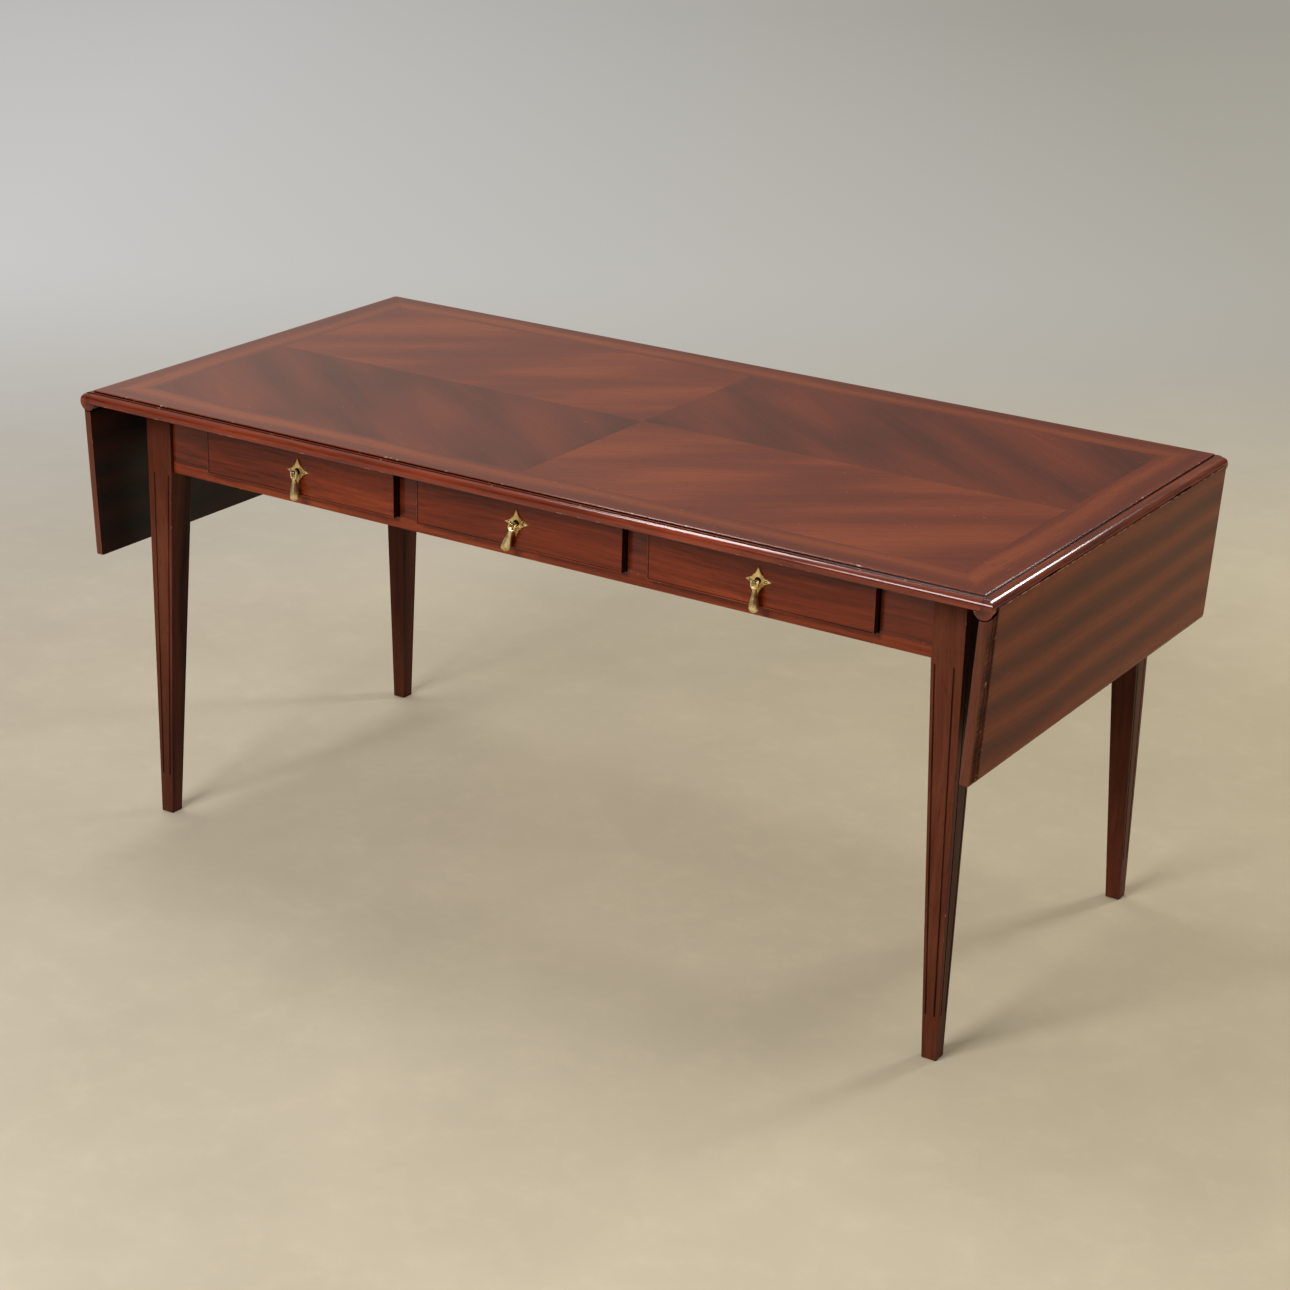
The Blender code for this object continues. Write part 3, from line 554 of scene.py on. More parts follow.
@dataclass(frozen=True)
class StudioFloor:
    """Painted studio floor: warm grey by the table and lighter toward its right as painted light, with faint
    scuffs, and an even pale grey far from it.

    The far part shows its own pale colour to the eye and to polished surfaces, as a lit backdrop
    does. It sends no light to the table. A noise has its scale, its detail and its roughness.
    """

    name: str = "studio_floor_paint"
    near_left: str = "#C1B8AB"
    near_right: str = "#DED0AF"
    far_left: str = "#CAC9C7"
    far_right: str = "#AEAAA0"
    sweep: Point = (0.4, 3.0)
    side_reach: float = 1.5
    fade: Point = (3.0, 7.0)
    fade_least: float = 0.84
    scuff_noise: Triple = (3.0, 9.0, 0.62)
    scuff_limits: Point = (0.3, 0.7)
    scuff_shades: Point = (0.93, 1.05)
    rub_noise: Triple = (18.0, 8.0, 0.7)
    rub_limits: Point = (0.5, 0.75)
    rub_shade: float = 0.07
    roughness: float = 0.8
    sheen: float = 0.05

    def build(self) -> Material:
        """Build the material from its sizes and colours.

        Returns:
            The finished material.
        """
        material, graph, shader = new_finish(self.name)
        place = graph.place()
        facing = graph.mapped(place, {"Rotation": (0.0, 0.0, -VIEW_TURN)})
        parts = graph.add("ShaderNodeSeparateXYZ", {0: facing}).outputs
        scuffs = graph.spread(graph.noise(place, *self.scuff_noise), self.scuff_limits, *self.scuff_shades)
        rubs = graph.spread(graph.noise(place, *self.rub_noise), self.rub_limits, most=self.rub_shade)
        # Lighter toward the right near the table: painted light that evens out the lamps
        sideways = graph.spread(parts["X"], (-self.side_reach, self.side_reach))
        ground = graph.mix(sideways, self.near_left, self.near_right)
        graph.wire(shader, {
            "Base Color": graph.vector("MULTIPLY", ground, graph.number("ADD", scuffs, rubs)),
            "Roughness": self.roughness,
            "Specular IOR Level": self.sheen,
        })
        backdrop = graph.add("ShaderNodeEmission", {
            "Color": graph.mix(sideways, self.far_left, self.far_right),
            "Strength": graph.spread(parts["Y"], self.fade, 1.0, self.fade_least),
        })
        rays = graph.add("ShaderNodeLightPath").outputs
        seen = rays["Is Camera Ray"]
        for ray in ("Is Glossy Ray", "Is Transmission Ray"):
            seen = graph.number("MAXIMUM", seen, rays[ray])
        share = graph.number("MULTIPLY", seen, graph.spread(parts["Y"], self.sweep, soft=True))
        both = {0: share, 1: shader.outputs["BSDF"], 2: backdrop.outputs["Emission"]}
        mixed = graph.add("ShaderNodeMixShader", both).outputs["Shader"]
        graph.wire(graph.tree.nodes["Material Output"], {"Surface": mixed})
        return material


def new_object(name: str, data: ID) -> Object:
    """Add an object to the scene.

    Args:
        name: Name of the object.
        data: Its mesh, camera or lamp.

    Returns:
        The object.
    """
    thing = bpy.data.objects.new(name, data)
    bpy.context.scene.collection.objects.link(thing)
    return thing


def to_mesh(bm: BMesh, name: str) -> Mesh:
    """Turn a shape into a mesh, and free the shape.

    Args:
        bm: The shape.
        name: Name of the mesh.

    Returns:
        The mesh.
    """
    mesh = bpy.data.meshes.new(name)
    bm.to_mesh(mesh)
    bm.free()
    return mesh


def block(low: Vector, high: Vector) -> BMesh:
    """Make a box.

    Args:
        low: Lowest corner.
        high: Highest corner.

    Returns:
        The box.
    """
    bm = bmesh.new()
    bmesh.ops.create_cube(bm, size=1.0)
    bmesh.ops.scale(bm, verts=bm.verts, vec=high - low)
    bmesh.ops.translate(bm, verts=bm.verts, vec=(low + high) / 2)
    return bm


def end_block(side: str, out: Point, across: Point, rise: Point) -> BMesh:
    """Make a box at one end of the table.

    Args:
        side: End of the table.
        out: Where the box starts and ends, as distances from the middle.
        across: Where it starts and ends along Y.
        rise: Where it starts and ends in height.

    Returns:
        The box.
    """
    along = sorted(SIDES[side] * x for x in out)
    low, high = (Vector(corner) for corner in zip(along, across, rise))
    return block(low, high)


def face_outward(bm: BMesh) -> BMesh:
    """Turn the faces of a closed shape outward.

    Args:
        bm: The shape.

    Returns:
        The same shape.
    """
    bmesh.ops.recalc_face_normals(bm, faces=bm.faces)
    if bm.calc_volume(signed=True) < 0:
        bmesh.ops.reverse_faces(bm, faces=bm.faces)
    return bm


def draw_out(bm: BMesh, face: BMFace, way: Triple) -> None:
    """Extrude a face.

    Args:
        bm: Shape that holds the face.
        face: The face.
        way: How far its copy is moved.
    """
    drawn = bmesh.ops.extrude_face_region(bm, geom=[face])
    far = [item for item in drawn["geom"] if isinstance(item, BMVert)]
    bmesh.ops.translate(bm, verts=far, vec=way)


def prism(outline: Sequence[Point], axis: str, low: float, high: float) -> BMesh:
    """Draw an outline out along one axis.

    Args:
        outline: Corners of the outline in the two other axes, in X, Y, Z order.
        axis: X, Y or Z.
        low: Where the bar starts.
        high: Where it ends.

    Returns:
        The closed bar.
    """
    order = {"X": (2, 0, 1), "Y": (0, 2, 1), "Z": (0, 1, 2)}[axis]
    bm = bmesh.new()
    ring = [bm.verts.new([(u, v, low)[part] for part in order]) for u, v in outline]
    draw_out(bm, bm.faces.new(ring), tuple((0.0, 0.0, high - low)[part] for part in order))
    return face_outward(bm)


def turned(profile: Sequence[Point], centre: Vector, axis: Vector, segments: int = 40) -> BMesh:
    """Turn a profile about an axis.

    Args:
        profile: Pairs of a place along the axis and a radius, starting and ending on the axis.
        centre: Point on the axis from which places are measured.
        axis: Direction of the axis.
        segments: Sides of the turned shape.

    Returns:
        The closed turned shape.
    """
    bm = bmesh.new()
    side = axis.orthogonal().normalized()
    verts = [bm.verts.new(centre + axis * along + side * radius) for along, radius in profile]
    edges = [bm.edges.new(pair) for pair in zip(verts, verts[1:])]
    bmesh.ops.spin(
        bm, geom=verts + edges, cent=centre, axis=axis, angle=math.tau, steps=segments, use_merge=True,
    )
    bmesh.ops.remove_doubles(bm, verts=bm.verts, dist=MERGE_DISTANCE)
    return face_outward(bm)


def rod(radius: float, ends: Point, centre: Vector, axis: Vector, segments: int = 40) -> BMesh:
    """Make a round rod.

    Args:
        radius: Its radius.
        ends: Where it starts and ends along the axis.
        centre: Point on the axis from which the ends are measured.
        axis: Direction of the axis.
        segments: Sides of the rod.

    Returns:
        The closed rod.
    """
    low, high = ends
    return turned([(low, 0.0), (low, radius), (high, radius), (high, 0.0)], centre, axis, segments)


def spoke(radius: float, angle: float) -> Vector:
    """Step from the middle of a circle to one of its points."""
    return Vector((math.cos(angle), math.sin(angle))) * radius


def arc(centre: Point, radius: float, start: float, end: float, steps: int) -> list[Point]:
    """Lay points on a circle.

    Args:
        centre: Middle of the circle.
        radius: Its radius.
        start: First angle.
        end: Last angle.
        steps: Number of steps between them.

    Returns:
        The points, both ends included.
    """
    angles = [start + (end - start) * step / steps for step in range(steps + 1)]
    return [(centre[0] + radius * math.cos(a), centre[1] + radius * math.sin(a)) for a in angles]


def face_layer(bm: BMesh, name: str) -> BMLayerItem:
    """Find a layer of numbers on the faces, or add it."""
    layers = bm.faces.layers.float
    return layers.get(name) or layers.new(name)


def round_edges(bm: BMesh, edges: Sequence[BMEdge], width: float, segments: int, wear: float) -> None:
    """Round edges and mark the new faces as the ones that wear.

    Args:
        bm: Shape that holds the edges.
        edges: Edges to round.
        width: Width of the rounding.
        segments: Steps of the rounding.
        wear: How far the new faces are rubbed.
    """
    layer = face_layer(bm, WEAR_AND_GLINT_LAYER)
    made = bmesh.ops.bevel(
        bm, geom=edges, offset=width, offset_type="OFFSET", affect="EDGES", segments=segments, profile=0.5,
        material=-1, clamp_overlap=True,
    )
    for face in made["faces"]:
        face[layer] = wear


def soften(bm: BMesh, width: float, segments: int = 2) -> BMesh:
    """Round every sharp edge.

    Args:
        bm: Shape to soften.
        width: Width of the rounding.
        segments: Steps of the rounding.

    Returns:
        The same shape.
    """
    edges = [edge for edge in bm.edges if edge.is_manifold and edge.calc_face_angle() > SOFT_ANGLE]
    round_edges(bm, edges, width, segments, WORN)
    return bm


def combine(body: BMesh, tool: BMesh, operation: str) -> BMesh:
    """Cut, keep or join one closed shape with another.

    Args:
        body: Shape that is worked on.
        tool: Shape that works on it.
        operation: DIFFERENCE, INTERSECT or UNION.

    Returns:
        The result, as a new shape.
    """
    things = [new_object("shaping", to_mesh(bm, "shaping")) for bm in (body, tool)]
    modifier = things[0].modifiers.new("shape", "BOOLEAN")
    modifier.operation = operation
    modifier.solver = "EXACT"
    modifier.object = things[1]
    result = bmesh.new()
    result.from_object(things[0], bpy.context.evaluated_depsgraph_get())
    for thing in things:
        mesh = thing.data
        bpy.data.objects.remove(thing)
        bpy.data.meshes.remove(mesh)
    return result


def joined(shapes: Sequence[BMesh]) -> BMesh:
    """Gather separate shapes into one mesh.

    Args:
        shapes: Shapes that don't touch.

    Returns:
        One mesh that holds them all.
    """
    whole = bmesh.new()
    for shape in shapes:
        mesh = to_mesh(shape, "gathering")
        whole.from_mesh(mesh)
        bpy.data.meshes.remove(mesh)
    return whole


def moved(bm: BMesh, matrix: Matrix) -> BMesh:
    """Move a shape to its place, keeping its faces outward.

    Args:
        bm: The shape.
        matrix: Its move.

    Returns:
        The same shape.
    """
    bmesh.ops.transform(bm, matrix=matrix, verts=bm.verts)
    if matrix.determinant() < 0:
        bmesh.ops.reverse_faces(bm, faces=bm.faces)
    return bm


def lay_grain(bm: BMesh, rule: Callable[[BMFace, Vector], Point]) -> None:
    """Give every face corner its place along and across the grain.

    Args:
        bm: Shape to map.
        rule: Gives the place along and across for a face and a point on it.
    """
    bm.normal_update()
    layer = bm.loops.layers.uv.new(GRAIN_MAP)
    for face in bm.faces:
        for loop in face.loops:
            loop[layer].uv = rule(face, loop.vert.co)


def every(_face: BMFace) -> bool:
    """Choose every face."""
    return True


def set_tone(bm: BMesh, tone: float, chosen: Callable[[BMFace], bool] = every) -> BMesh:
    """Write a tone on chosen faces. It makes wood lighter or darker, and darkens brass; most tones are
    painted shade.

    Args:
        bm: Shape to tone.
        tone: What is written.
        chosen: Says which faces are toned.

    Returns:
        The same shape.
    """
    bm.normal_update()
    layer = face_layer(bm, TONE_LAYER)
    for face in bm.faces:
        if chosen(face):
            face[layer] = tone
    return bm


def place_piece(
    name: str, bm: BMesh, finishes: Sequence[Material], body: str, nodes: Sequence[str],
) -> None:
    """Turn a shape into a finished piece that rides on a body.

    Args:
        name: Name of the piece.
        bm: Its closed shape, in the table's frame.
        finishes: Its materials.
        body: Body that carries it.
        nodes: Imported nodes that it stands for.
    """
    bmesh.ops.remove_doubles(bm, verts=bm.verts, dist=MERGE_DISTANCE)
    mesh = to_mesh(bm, name)
    mesh.shade_smooth()
    mesh.set_sharp_from_angle(angle=SHARP_ANGLE)
    for finish in finishes:
        mesh.materials.append(finish)
    piece = new_object(name, mesh)
    even = piece.modifiers.new("even_flats", "WEIGHTED_NORMAL")
    even.keep_sharp = True
    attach(piece, body)
    if nodes:
        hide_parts(*nodes)
    LOG.info("%s: %d faces on %s", name, len(mesh.polygons), body)


@dataclass(frozen=True)
class EdgeProfile:
    """Moulding of the free edges: a step, a flat ledge, a quirk and a round with a flatter crown."""

    step: float = 2.1 * MM
    ledge: float = 3.5 * MM
    quirk: float = 1.5 * MM
    bulge: float = 5.5 * MM
    # Width of the ledge strip next to the step that is painted with shade
    shade_strip: float = 1.4 * MM
    crown_radius: float = 28.0 * MM
    crown_start: float = math.radians(66)
    crown_end: float = math.radians(60.5)
    crest_run: float = 1.2 * MM
    crest_fall: float = 0.7 * MM
    rubbed_run: float = 0.4 * MM
    rubbed_fall: float = 0.2 * MM
    arris: float = 0.8 * MM
    crown_steps: int = 3
    bulge_steps: int = 12

    @property
    def reach(self) -> float:
        """How far the moulding stands out from the flat."""
        return self.ledge + self.bulge

    def crest(self, flat: float, top: float) -> list[Point]:
        """Lay the rubbed arris of the flat."""
        return [(flat - self.crest_run, top), (flat, top - self.crest_fall)]

    def points(self, flat: float, top: float, bottom: float) -> list[Point]:
        """Lay the moulding's points.

        Args:
            flat: Where the flat ends.
            top: Height of the flat.
            bottom: Height of the underside.

        Returns:
            Points from the foot of the step to the underside.
        """
        ledge = top - self.step
        shoulder = flat + self.ledge
        edge = shoulder + self.bulge
        rubbed = [(shoulder - self.rubbed_run, ledge), (shoulder, ledge - self.rubbed_fall)]
        start, end = self.crown_start, self.crown_end
        middle = Vector((shoulder, ledge - self.quirk)) - spoke(self.crown_radius, start)
        crown = arc(tuple(middle), self.crown_radius, start, end, self.crown_steps)
        turn = (edge - crown[-1][0]) / (1 - math.cos(end))
        centre = Vector(crown[-1]) - spoke(turn, end)
        rounded = arc(tuple(centre), turn, end, 0.0, self.bulge_steps)
        lower = [(edge, bottom + self.arris), (edge - self.arris, bottom)]
        return [(flat, ledge), (flat + self.shade_strip, ledge)] + rubbed + crown + rounded[1:] + lower

    def is_quirk(self, out: float) -> bool:
        """Whether an upright face at a distance out from the flat's arris is the side of the quirk."""
        return abs(out - self.ledge) < self.arris / 4

    def is_recess(self, out: float) -> bool:
        """Whether an upright face at a distance out from the flat's arris lies in a recess."""
        return abs(out) < self.arris / 4 or self.is_quirk(out)

    def is_dirty(self, out: float) -> bool:
        """Whether a level face at a distance out from the flat's arris lies in the strip under the step that
        takes painted shade.
        """
        return 0.0 < out < self.shade_strip

    def ends(self, flat: float, top: float, bottom: float) -> list[Point]:
        """Lay an outline with the moulding on both sides of the middle."""
        side = self.crest(flat, top) + self.points(flat, top, bottom)
        return side + [(-u, v) for u, v in reversed(side)]


@dataclass(frozen=True)
class TablePlaces:
    """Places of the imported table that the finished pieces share."""

    flat_end: float
    flat_side: float
    top: float
    underside: float
    edge_side: float
    pin_x: float
    pin_z: float
    carcass_top: float

    @classmethod
    def read(cls, frame: dict) -> TablePlaces:
        """Read the places from the frame.

        Args:
            frame: The loaded frame.

        Returns:
            The shared places.
        """
        panel_low, panel_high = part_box("top_panel")
        strip_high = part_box("right_joint_strip")[1]
        leg_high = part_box("front_right_leg")[1]
        pin = next(joint["pos_m"] for joint in frame["joints"] if joint["name"] == "right_leaf_hinge")
        return cls(
            flat_end=panel_high.x, flat_side=panel_high.y, top=panel_high.z, underside=panel_low.z,
            edge_side=strip_high.y, pin_x=pin[0], pin_z=pin[2], carcass_top=leg_high.z,
        )


@dataclass(frozen=True)
class HingeRoom:
    """Room that the brass hinges need in the wood round them."""

    clearance: float = 0.4 * MM

    def spans(self, side: str) -> list[Point]:
        """Give the low and high Y of each hinge at one end of the table."""
        boxes = [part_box(f"{side}_{end}_hinge_top_flap") for end in ("front", "back")]
        return [(low.y - self.clearance, high.y + self.clearance) for low, high in boxes]

    def notches(self, side: str, out: Point, low: float) -> list[BMesh]:
        """Make the cutters for the knuckles, from the distances out where they start and end."""
        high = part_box(f"{side}_front_hinge_top_flap")[1].z + self.clearance
        return [end_block(side, out, span, (low, high)) for span in self.spans(side)]


@dataclass(frozen=True)
class VeneeredTop:
    """Board of the fixed top: four matched field sheets inside a mitred border."""

    places: TablePlaces
    profile: EdgeProfile
    border: float = 48.0 * MM
    arris: float = 0.25 * MM
    figure_turn: float = math.radians(36)
    sheet_slide: float = 37.0 * MM
    sheet_shift: float = 3.7 * MM
    dim_sheen_tone: float = -0.12
    bright_sheen_tone: float = 0.05
    knuckle_room: float = 3.0 * MM

    def build(self, field: Material, border: Material) -> None:
        """Model the board and dress it.

        Args:
            field: Finish of the matched sheets.
            border: Finish of the border.
        """
        bm = self._shape()
        self._lay_sheets(bm)
        out = (self.places.flat_end - self.knuckle_room, self.places.pin_x)
        for side in SIDES:
            for notch in HingeRoom().notches(side, out, self.places.underside - CUT_ROOM):
                bm = combine(bm, notch, "DIFFERENCE")
        place_piece("veneered_top", bm, [field, border], "carcass", ["top_panel"])

    def _shape(self) -> BMesh:
        """Make the board with a soft rim, its top divided into sheets.

        Returns:
            The board.
        """
        low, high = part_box("top_panel")
        run, fall = self.profile.crest_run, self.profile.crest_fall
        bm = block(low, high - Z_WAY * fall)
        top = max(bm.faces, key=lambda face: face.calc_center_median().z)
        bmesh.ops.inset_region(bm, faces=[top], thickness=run, depth=fall, use_even_offset=True)
        soften(bm, self.arris)
        top = max(bm.faces, key=lambda face: (face.normal.z, face.calc_area()))
        rest = self.border - run - self.arris
        bmesh.ops.inset_region(bm, faces=[top], thickness=rest, use_even_offset=True)
        for way in (X_WAY, Y_WAY):
            sheets = [face for face in bm.faces if self._in_field(face)]
            edges = {edge for face in sheets for edge in face.edges}
            verts = {vert for face in sheets for vert in face.verts}
            bmesh.ops.bisect_plane(bm, geom=[*verts, *edges, *sheets], plane_co=(0, 0, 0), plane_no=way)
        return bm

    def _in_field(self, face: BMFace) -> bool:
        """Whether a face lies on the top, inside the border.

        Args:
            face: Face of the board.

        Returns:
            True for a face of the field.
        """
        inside = self.places.flat_end - self.border / 2, self.places.flat_side - self.border / 2
        level = abs(face.calc_center_median().z - self.places.top) < END_TUCK
        return level and all(abs(v.co.x) < inside[0] and abs(v.co.y) < inside[1] for v in face.verts)

    def _lay_sheets(self, bm: BMesh) -> None:
        """Set each sheet's tone and finish, and turn its grain as it is laid. The sheets' tones are painted
        sheen.

        Args:
            bm: The board.
        """
        tone = face_layer(bm, TONE_LAYER)
        wear = face_layer(bm, WEAR_AND_GLINT_LAYER)
        for face in bm.faces:
            spot = face.calc_center_median()
            if self._in_field(face):
                # Alternate sheets lighter and darker: painted sheen of the flipped veneer
                face[tone] = self.dim_sheen_tone if spot.x * spot.y > 0 else self.bright_sheen_tone
            else:
                face.material_index = BORDER_PLACE
            if abs(face.normal.z) < BARELY:
                face[tone] = SHADE_TONE
            elif BARELY < face.normal.z < FULLY:
                # Slanted faces of the rim: wear chips, which in the border's paler worn colour also paint a
                # highlight along the arris
                face[wear] = CREST_WEAR_AND_GLINT
        lay_grain(bm, self._grain)

    def _grain(self, face: BMFace, point: Vector) -> Point:
        """Find a place in the sheet that a face belongs to.

        Args:
            face: Face of the board.
            point: Point on it.

        Returns:
            Place along and across the grain.
        """
        places = self.places
        spot = face.calc_center_median()
        out_x, out_y = abs(point.x), abs(point.y)
        if self._in_field(face):
            sheet = 2 * (spot.x > 0) + (spot.y > 0)
            cos, sin = math.cos(self.figure_turn), math.sin(self.figure_turn)
            return (
                out_x * cos - out_y * sin + self.sheet_slide * sheet,
                out_x * sin + out_y * cos + self.sheet_shift * sheet,
            )
        depth = places.top - point.z
        if places.flat_side - abs(spot.y) < places.flat_end - abs(spot.x):
            return point.x, places.flat_side - out_y + depth
        return point.y, places.flat_end - out_x + depth


@dataclass(frozen=True)
class TopEdges:
    """Moulded lippings along the long edges and round strips at the ends of the top."""

    places: TablePlaces
    profile: EdgeProfile
    bead_radius: float = 11.0 * MM
    bearer_room: float = 30.4 * MM
    arris: float = 0.35 * MM
    bead_steps: int = 56
    end_tone: float = -0.12

    def build(self, along: Material, across: Material) -> None:
        """Model the lippings and the strips and dress them.

        Args:
            along: Finish with the grain along X.
            across: Finish with the grain along Y.
        """
        for name, sign in (("front", -1), ("back", 1)):
            bm = self._lipping(sign)
            place_piece(f"{name}_lipping", bm, [along], "carcass", [f"{name}_edge_moulding"])
        for side in SIDES:
            bm = self._bead(side)
            place_piece(f"{side}_rule_bead", bm, [across], "carcass", [f"{side}_joint_strip"])

    def _lipping(self, sign: int) -> BMesh:
        """Make the moulded bar along one long edge.

        Args:
            sign: Direction of that edge along Y.

        Returns:
            The bar.
        """
        places = self.places
        edge = self.profile.points(places.flat_side, places.top, places.underside)
        outline = [(sign * u, v) for u, v in [(places.flat_side, places.underside)] + edge]
        bm = soften(prism(outline, "X", -places.flat_end, places.flat_end), self.arris)
        # Recesses and the strip under the step take painted shade
        return set_tone(bm, SHADE_TONE, self._in_recess)

    def _in_recess(self, face: BMFace) -> bool:
        """Whether a face lies in a recess of the moulding that runs along X, which is painted with shade.

        Args:
            face: Face of a lipping or a strip.

        Returns:
            True for a face in a recess.
        """
        out = abs(face.calc_center_median().y) - self.places.flat_side
        upright = abs(face.normal.y) > SQUARELY and self.profile.is_recess(out)
        return upright or face.normal.z > SQUARELY and self.profile.is_dirty(out)

    def _bead(self, side: str) -> BMesh:
        """Make the round strip at one end, with the moulding worked on its own two ends.

        Args:
            side: End of the table.

        Returns:
            The strip, cut for the hinges and the bearer.
        """
        places = self.places
        radius = self.bead_radius
        first = math.acos((places.flat_end - places.pin_x) / radius)
        last = math.asin((places.carcass_top - places.pin_z) / radius)
        bead = arc((places.pin_x, places.pin_z), radius, first, -math.pi - last, self.bead_steps)
        outline = [(SIDES[side] * u, v) for u, v in bead + [(places.flat_end, places.carcass_top)]]
        half = places.edge_side - END_TUCK
        bm = soften(prism(outline, "Y", -half, half), self.arris)
        below = places.pin_z - 2 * radius
        inner, outer = places.pin_x - 2 * radius, places.pin_x + 2 * radius
        ends = self.profile.ends(places.flat_side, places.top, below)
        bm = combine(bm, soften(prism(ends, "X", -outer, outer), self.arris), "INTERSECT")
        room = (-self.bearer_room, self.bearer_room)
        cutters = HingeRoom().notches(side, (inner, outer), below)
        cutters.append(end_block(side, (inner, outer), room, (below, places.underside)))
        for cutter in cutters:
            bm = combine(bm, cutter, "DIFFERENCE")
        set_tone(bm, self.end_tone, lambda face: abs(face.normal.y) > HALFWAY)
        # Painted shade on the underside of the bead
        set_tone(bm, DEEP_SHADE_TONE, lambda face: face.normal.z < -PARTLY and abs(face.normal.y) < HALFWAY)
        return set_tone(bm, SHADE_TONE, self._in_recess)


@dataclass(frozen=True)
class DropLeaf:
    """Hanging leaf: a cove at its hinge edge and a moulding on its three free edges."""

    places: TablePlaces
    profile: EdgeProfile
    length: float = 190.0 * MM
    thickness: float = 16.0 * MM
    pin_out: float = 3.0 * MM
    cove_radius: float = 12.2 * MM
    lip_gap: float = 0.4 * MM
    flap_depth: float = 2.3 * MM
    corner: float = 5.0 * MM
    corner_bite: float = 0.4 * MM
    arris: float = 0.4 * MM
    rim: float = 0.6 * MM
    # Wear value that paints a pale highlight on the cove's rims
    rim_glint: float = 2.0
    cove_steps: int = 30
    corner_steps: int = 10
    end_tone: float = -0.08
    round_tone: float = 0.04

    def build(self, face: Material, back: Material, edge: Material) -> None:
        """Model both leaves, dress them and hang them at their pins.

        Args:
            face: Veneer with its grain laid along the leaf.
            back: Finish of the underside, dark as painted shade.
            edge: Finish of the moulded edges.
        """
        pin = Matrix.Translation((self.places.pin_x, 0.0, self.places.pin_z))
        hung = pin @ Matrix.Rotation(self._hang(), 4, "Y")
        finishes = [face, back, edge]
        for side, sign in SIDES.items():
            bm = self._board(side)
            self._dress(bm)
            moved(bm, Matrix.Diagonal((sign, 1.0, 1.0, 1.0)) @ hung)
            unit = f"{side}_leaf_unit"
            place_piece(f"{side}_leaf_board", bm, finishes, unit, [f"{side}_leaf"])

    @property
    def _top(self) -> float:
        """Height of the raised leaf's face over the pin."""
        return self.places.top - self.places.pin_z

    @property
    def _underside(self) -> float:
        """Height of the raised leaf's underside over the pin."""
        return self._top - self.thickness

    def _section(self) -> list[Point]:
        """Lay the section of the raised leaf about the pin.

        Returns:
            Corners of the section.
        """
        lip = self.pin_out - self.lip_gap
        high = math.acos(-lip / self.cove_radius)
        low = math.asin(self._underside / self.cove_radius)
        cove = arc((0.0, 0.0), self.cove_radius, low, high, self.cove_steps)
        flat = self.length - self.profile.reach
        edge = self.profile.crest(flat, self._top) + self.profile.points(flat, self._top, self._underside)
        return cove + [(-lip, self._top)] + edge

    def _hang(self) -> float:
        """Find the angle that the leaf has dropped through when its weight hangs under the pin.

        Returns:
            The angle from the raised leaf.
        """
        outline = self._section()
        area = along = above = 0.0
        for (u0, v0), (u1, v1) in zip(outline, outline[1:] + outline[:1]):
            cross = u0 * v1 - u1 * v0
            area += cross
            along += (u0 + u1) * cross
            above += (v0 + v1) * cross
        return QUARTER_TURN + math.atan2(above / area, along / area)

    def _board(self, side: str) -> BMesh:
        """Make the raised right leaf about the pin, with the hinge recesses of one end.

        Args:
            side: End of the table that the recesses are for.

        Returns:
            The leaf.
        """
        half = self.places.edge_side - END_TUCK
        bm = soften(prism(self._section(), "Y", -half, half), self.arris)
        below = self._underside - self.thickness
        ends = self.profile.ends(self.places.flat_side, self._top + END_TUCK, below)
        bm = combine(bm, soften(prism(ends, "X", -self.length, 2 * self.length), self.arris), "INTERSECT")
        self._paint_rim_glints(bm)
        for way in (-1, 1):
            bm = combine(bm, self._corner_cutter(way), "DIFFERENCE")
        room = HingeRoom()
        reach = self.places.pin_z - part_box(f"{side}_front_hinge_leaf_flap")[0].z + room.clearance
        for low, high in room.spans(side):
            deep = Vector((reach, high, self._underside + self.flap_depth))
            bm = combine(bm, block(Vector((0.0, low, -self.thickness)), deep), "DIFFERENCE")
        return bm

    def _dress(self, bm: BMesh) -> None:
        """Lay the grain, tone the ends, paint shade into the recesses and the cove, and part the underside
        and the edges.

        Args:
            bm: The raised leaf.
        """
        lay_grain(bm, self._grain)
        set_tone(bm, self.round_tone, lambda face: abs(face.normal.y) > PARTLY)
        set_tone(bm, self.end_tone, lambda face: abs(face.normal.y) > FULLY)
        # Painted shade in the quirks and the cove
        set_tone(bm, DEEP_SHADE_TONE, lambda face: self._in_recess(face) or self._in_cove(face))
        for face in bm.faces:
            if face.normal.z < -SQUARELY:
                face.material_index = SHADED_UNDERSIDE_PLACE
            elif max(abs(face.normal.y), face.normal.x) > PARTLY:
                face.material_index = EDGE_PLACE

    def _in_recess(self, face: BMFace) -> bool:
        """Whether a face lies in a recess of the moulding.

        Args:
            face: Face of the raised leaf.

        Returns:
            True for a face in a recess.
        """
        spot = face.calc_center_median()
        side = abs(face.normal.y) > SQUARELY and self.profile.is_quirk(abs(spot.y) - self.places.flat_side)
        flat = self.length - self.profile.reach
        return side or face.normal.x > SQUARELY and self.profile.is_recess(spot.x - flat)

    def _in_cove(self, face: BMFace) -> bool:
        """Whether a face lies on the cove."""
        return abs(face.normal.y) < BARELY and all(self._on_cove(vert) for vert in face.verts)

    def _on_cove(self, vert: BMVert) -> bool:
        """Whether a point lies on the cove."""
        return abs(math.hypot(vert.co.x, vert.co.z) - self.cove_radius) < self.arris / 4

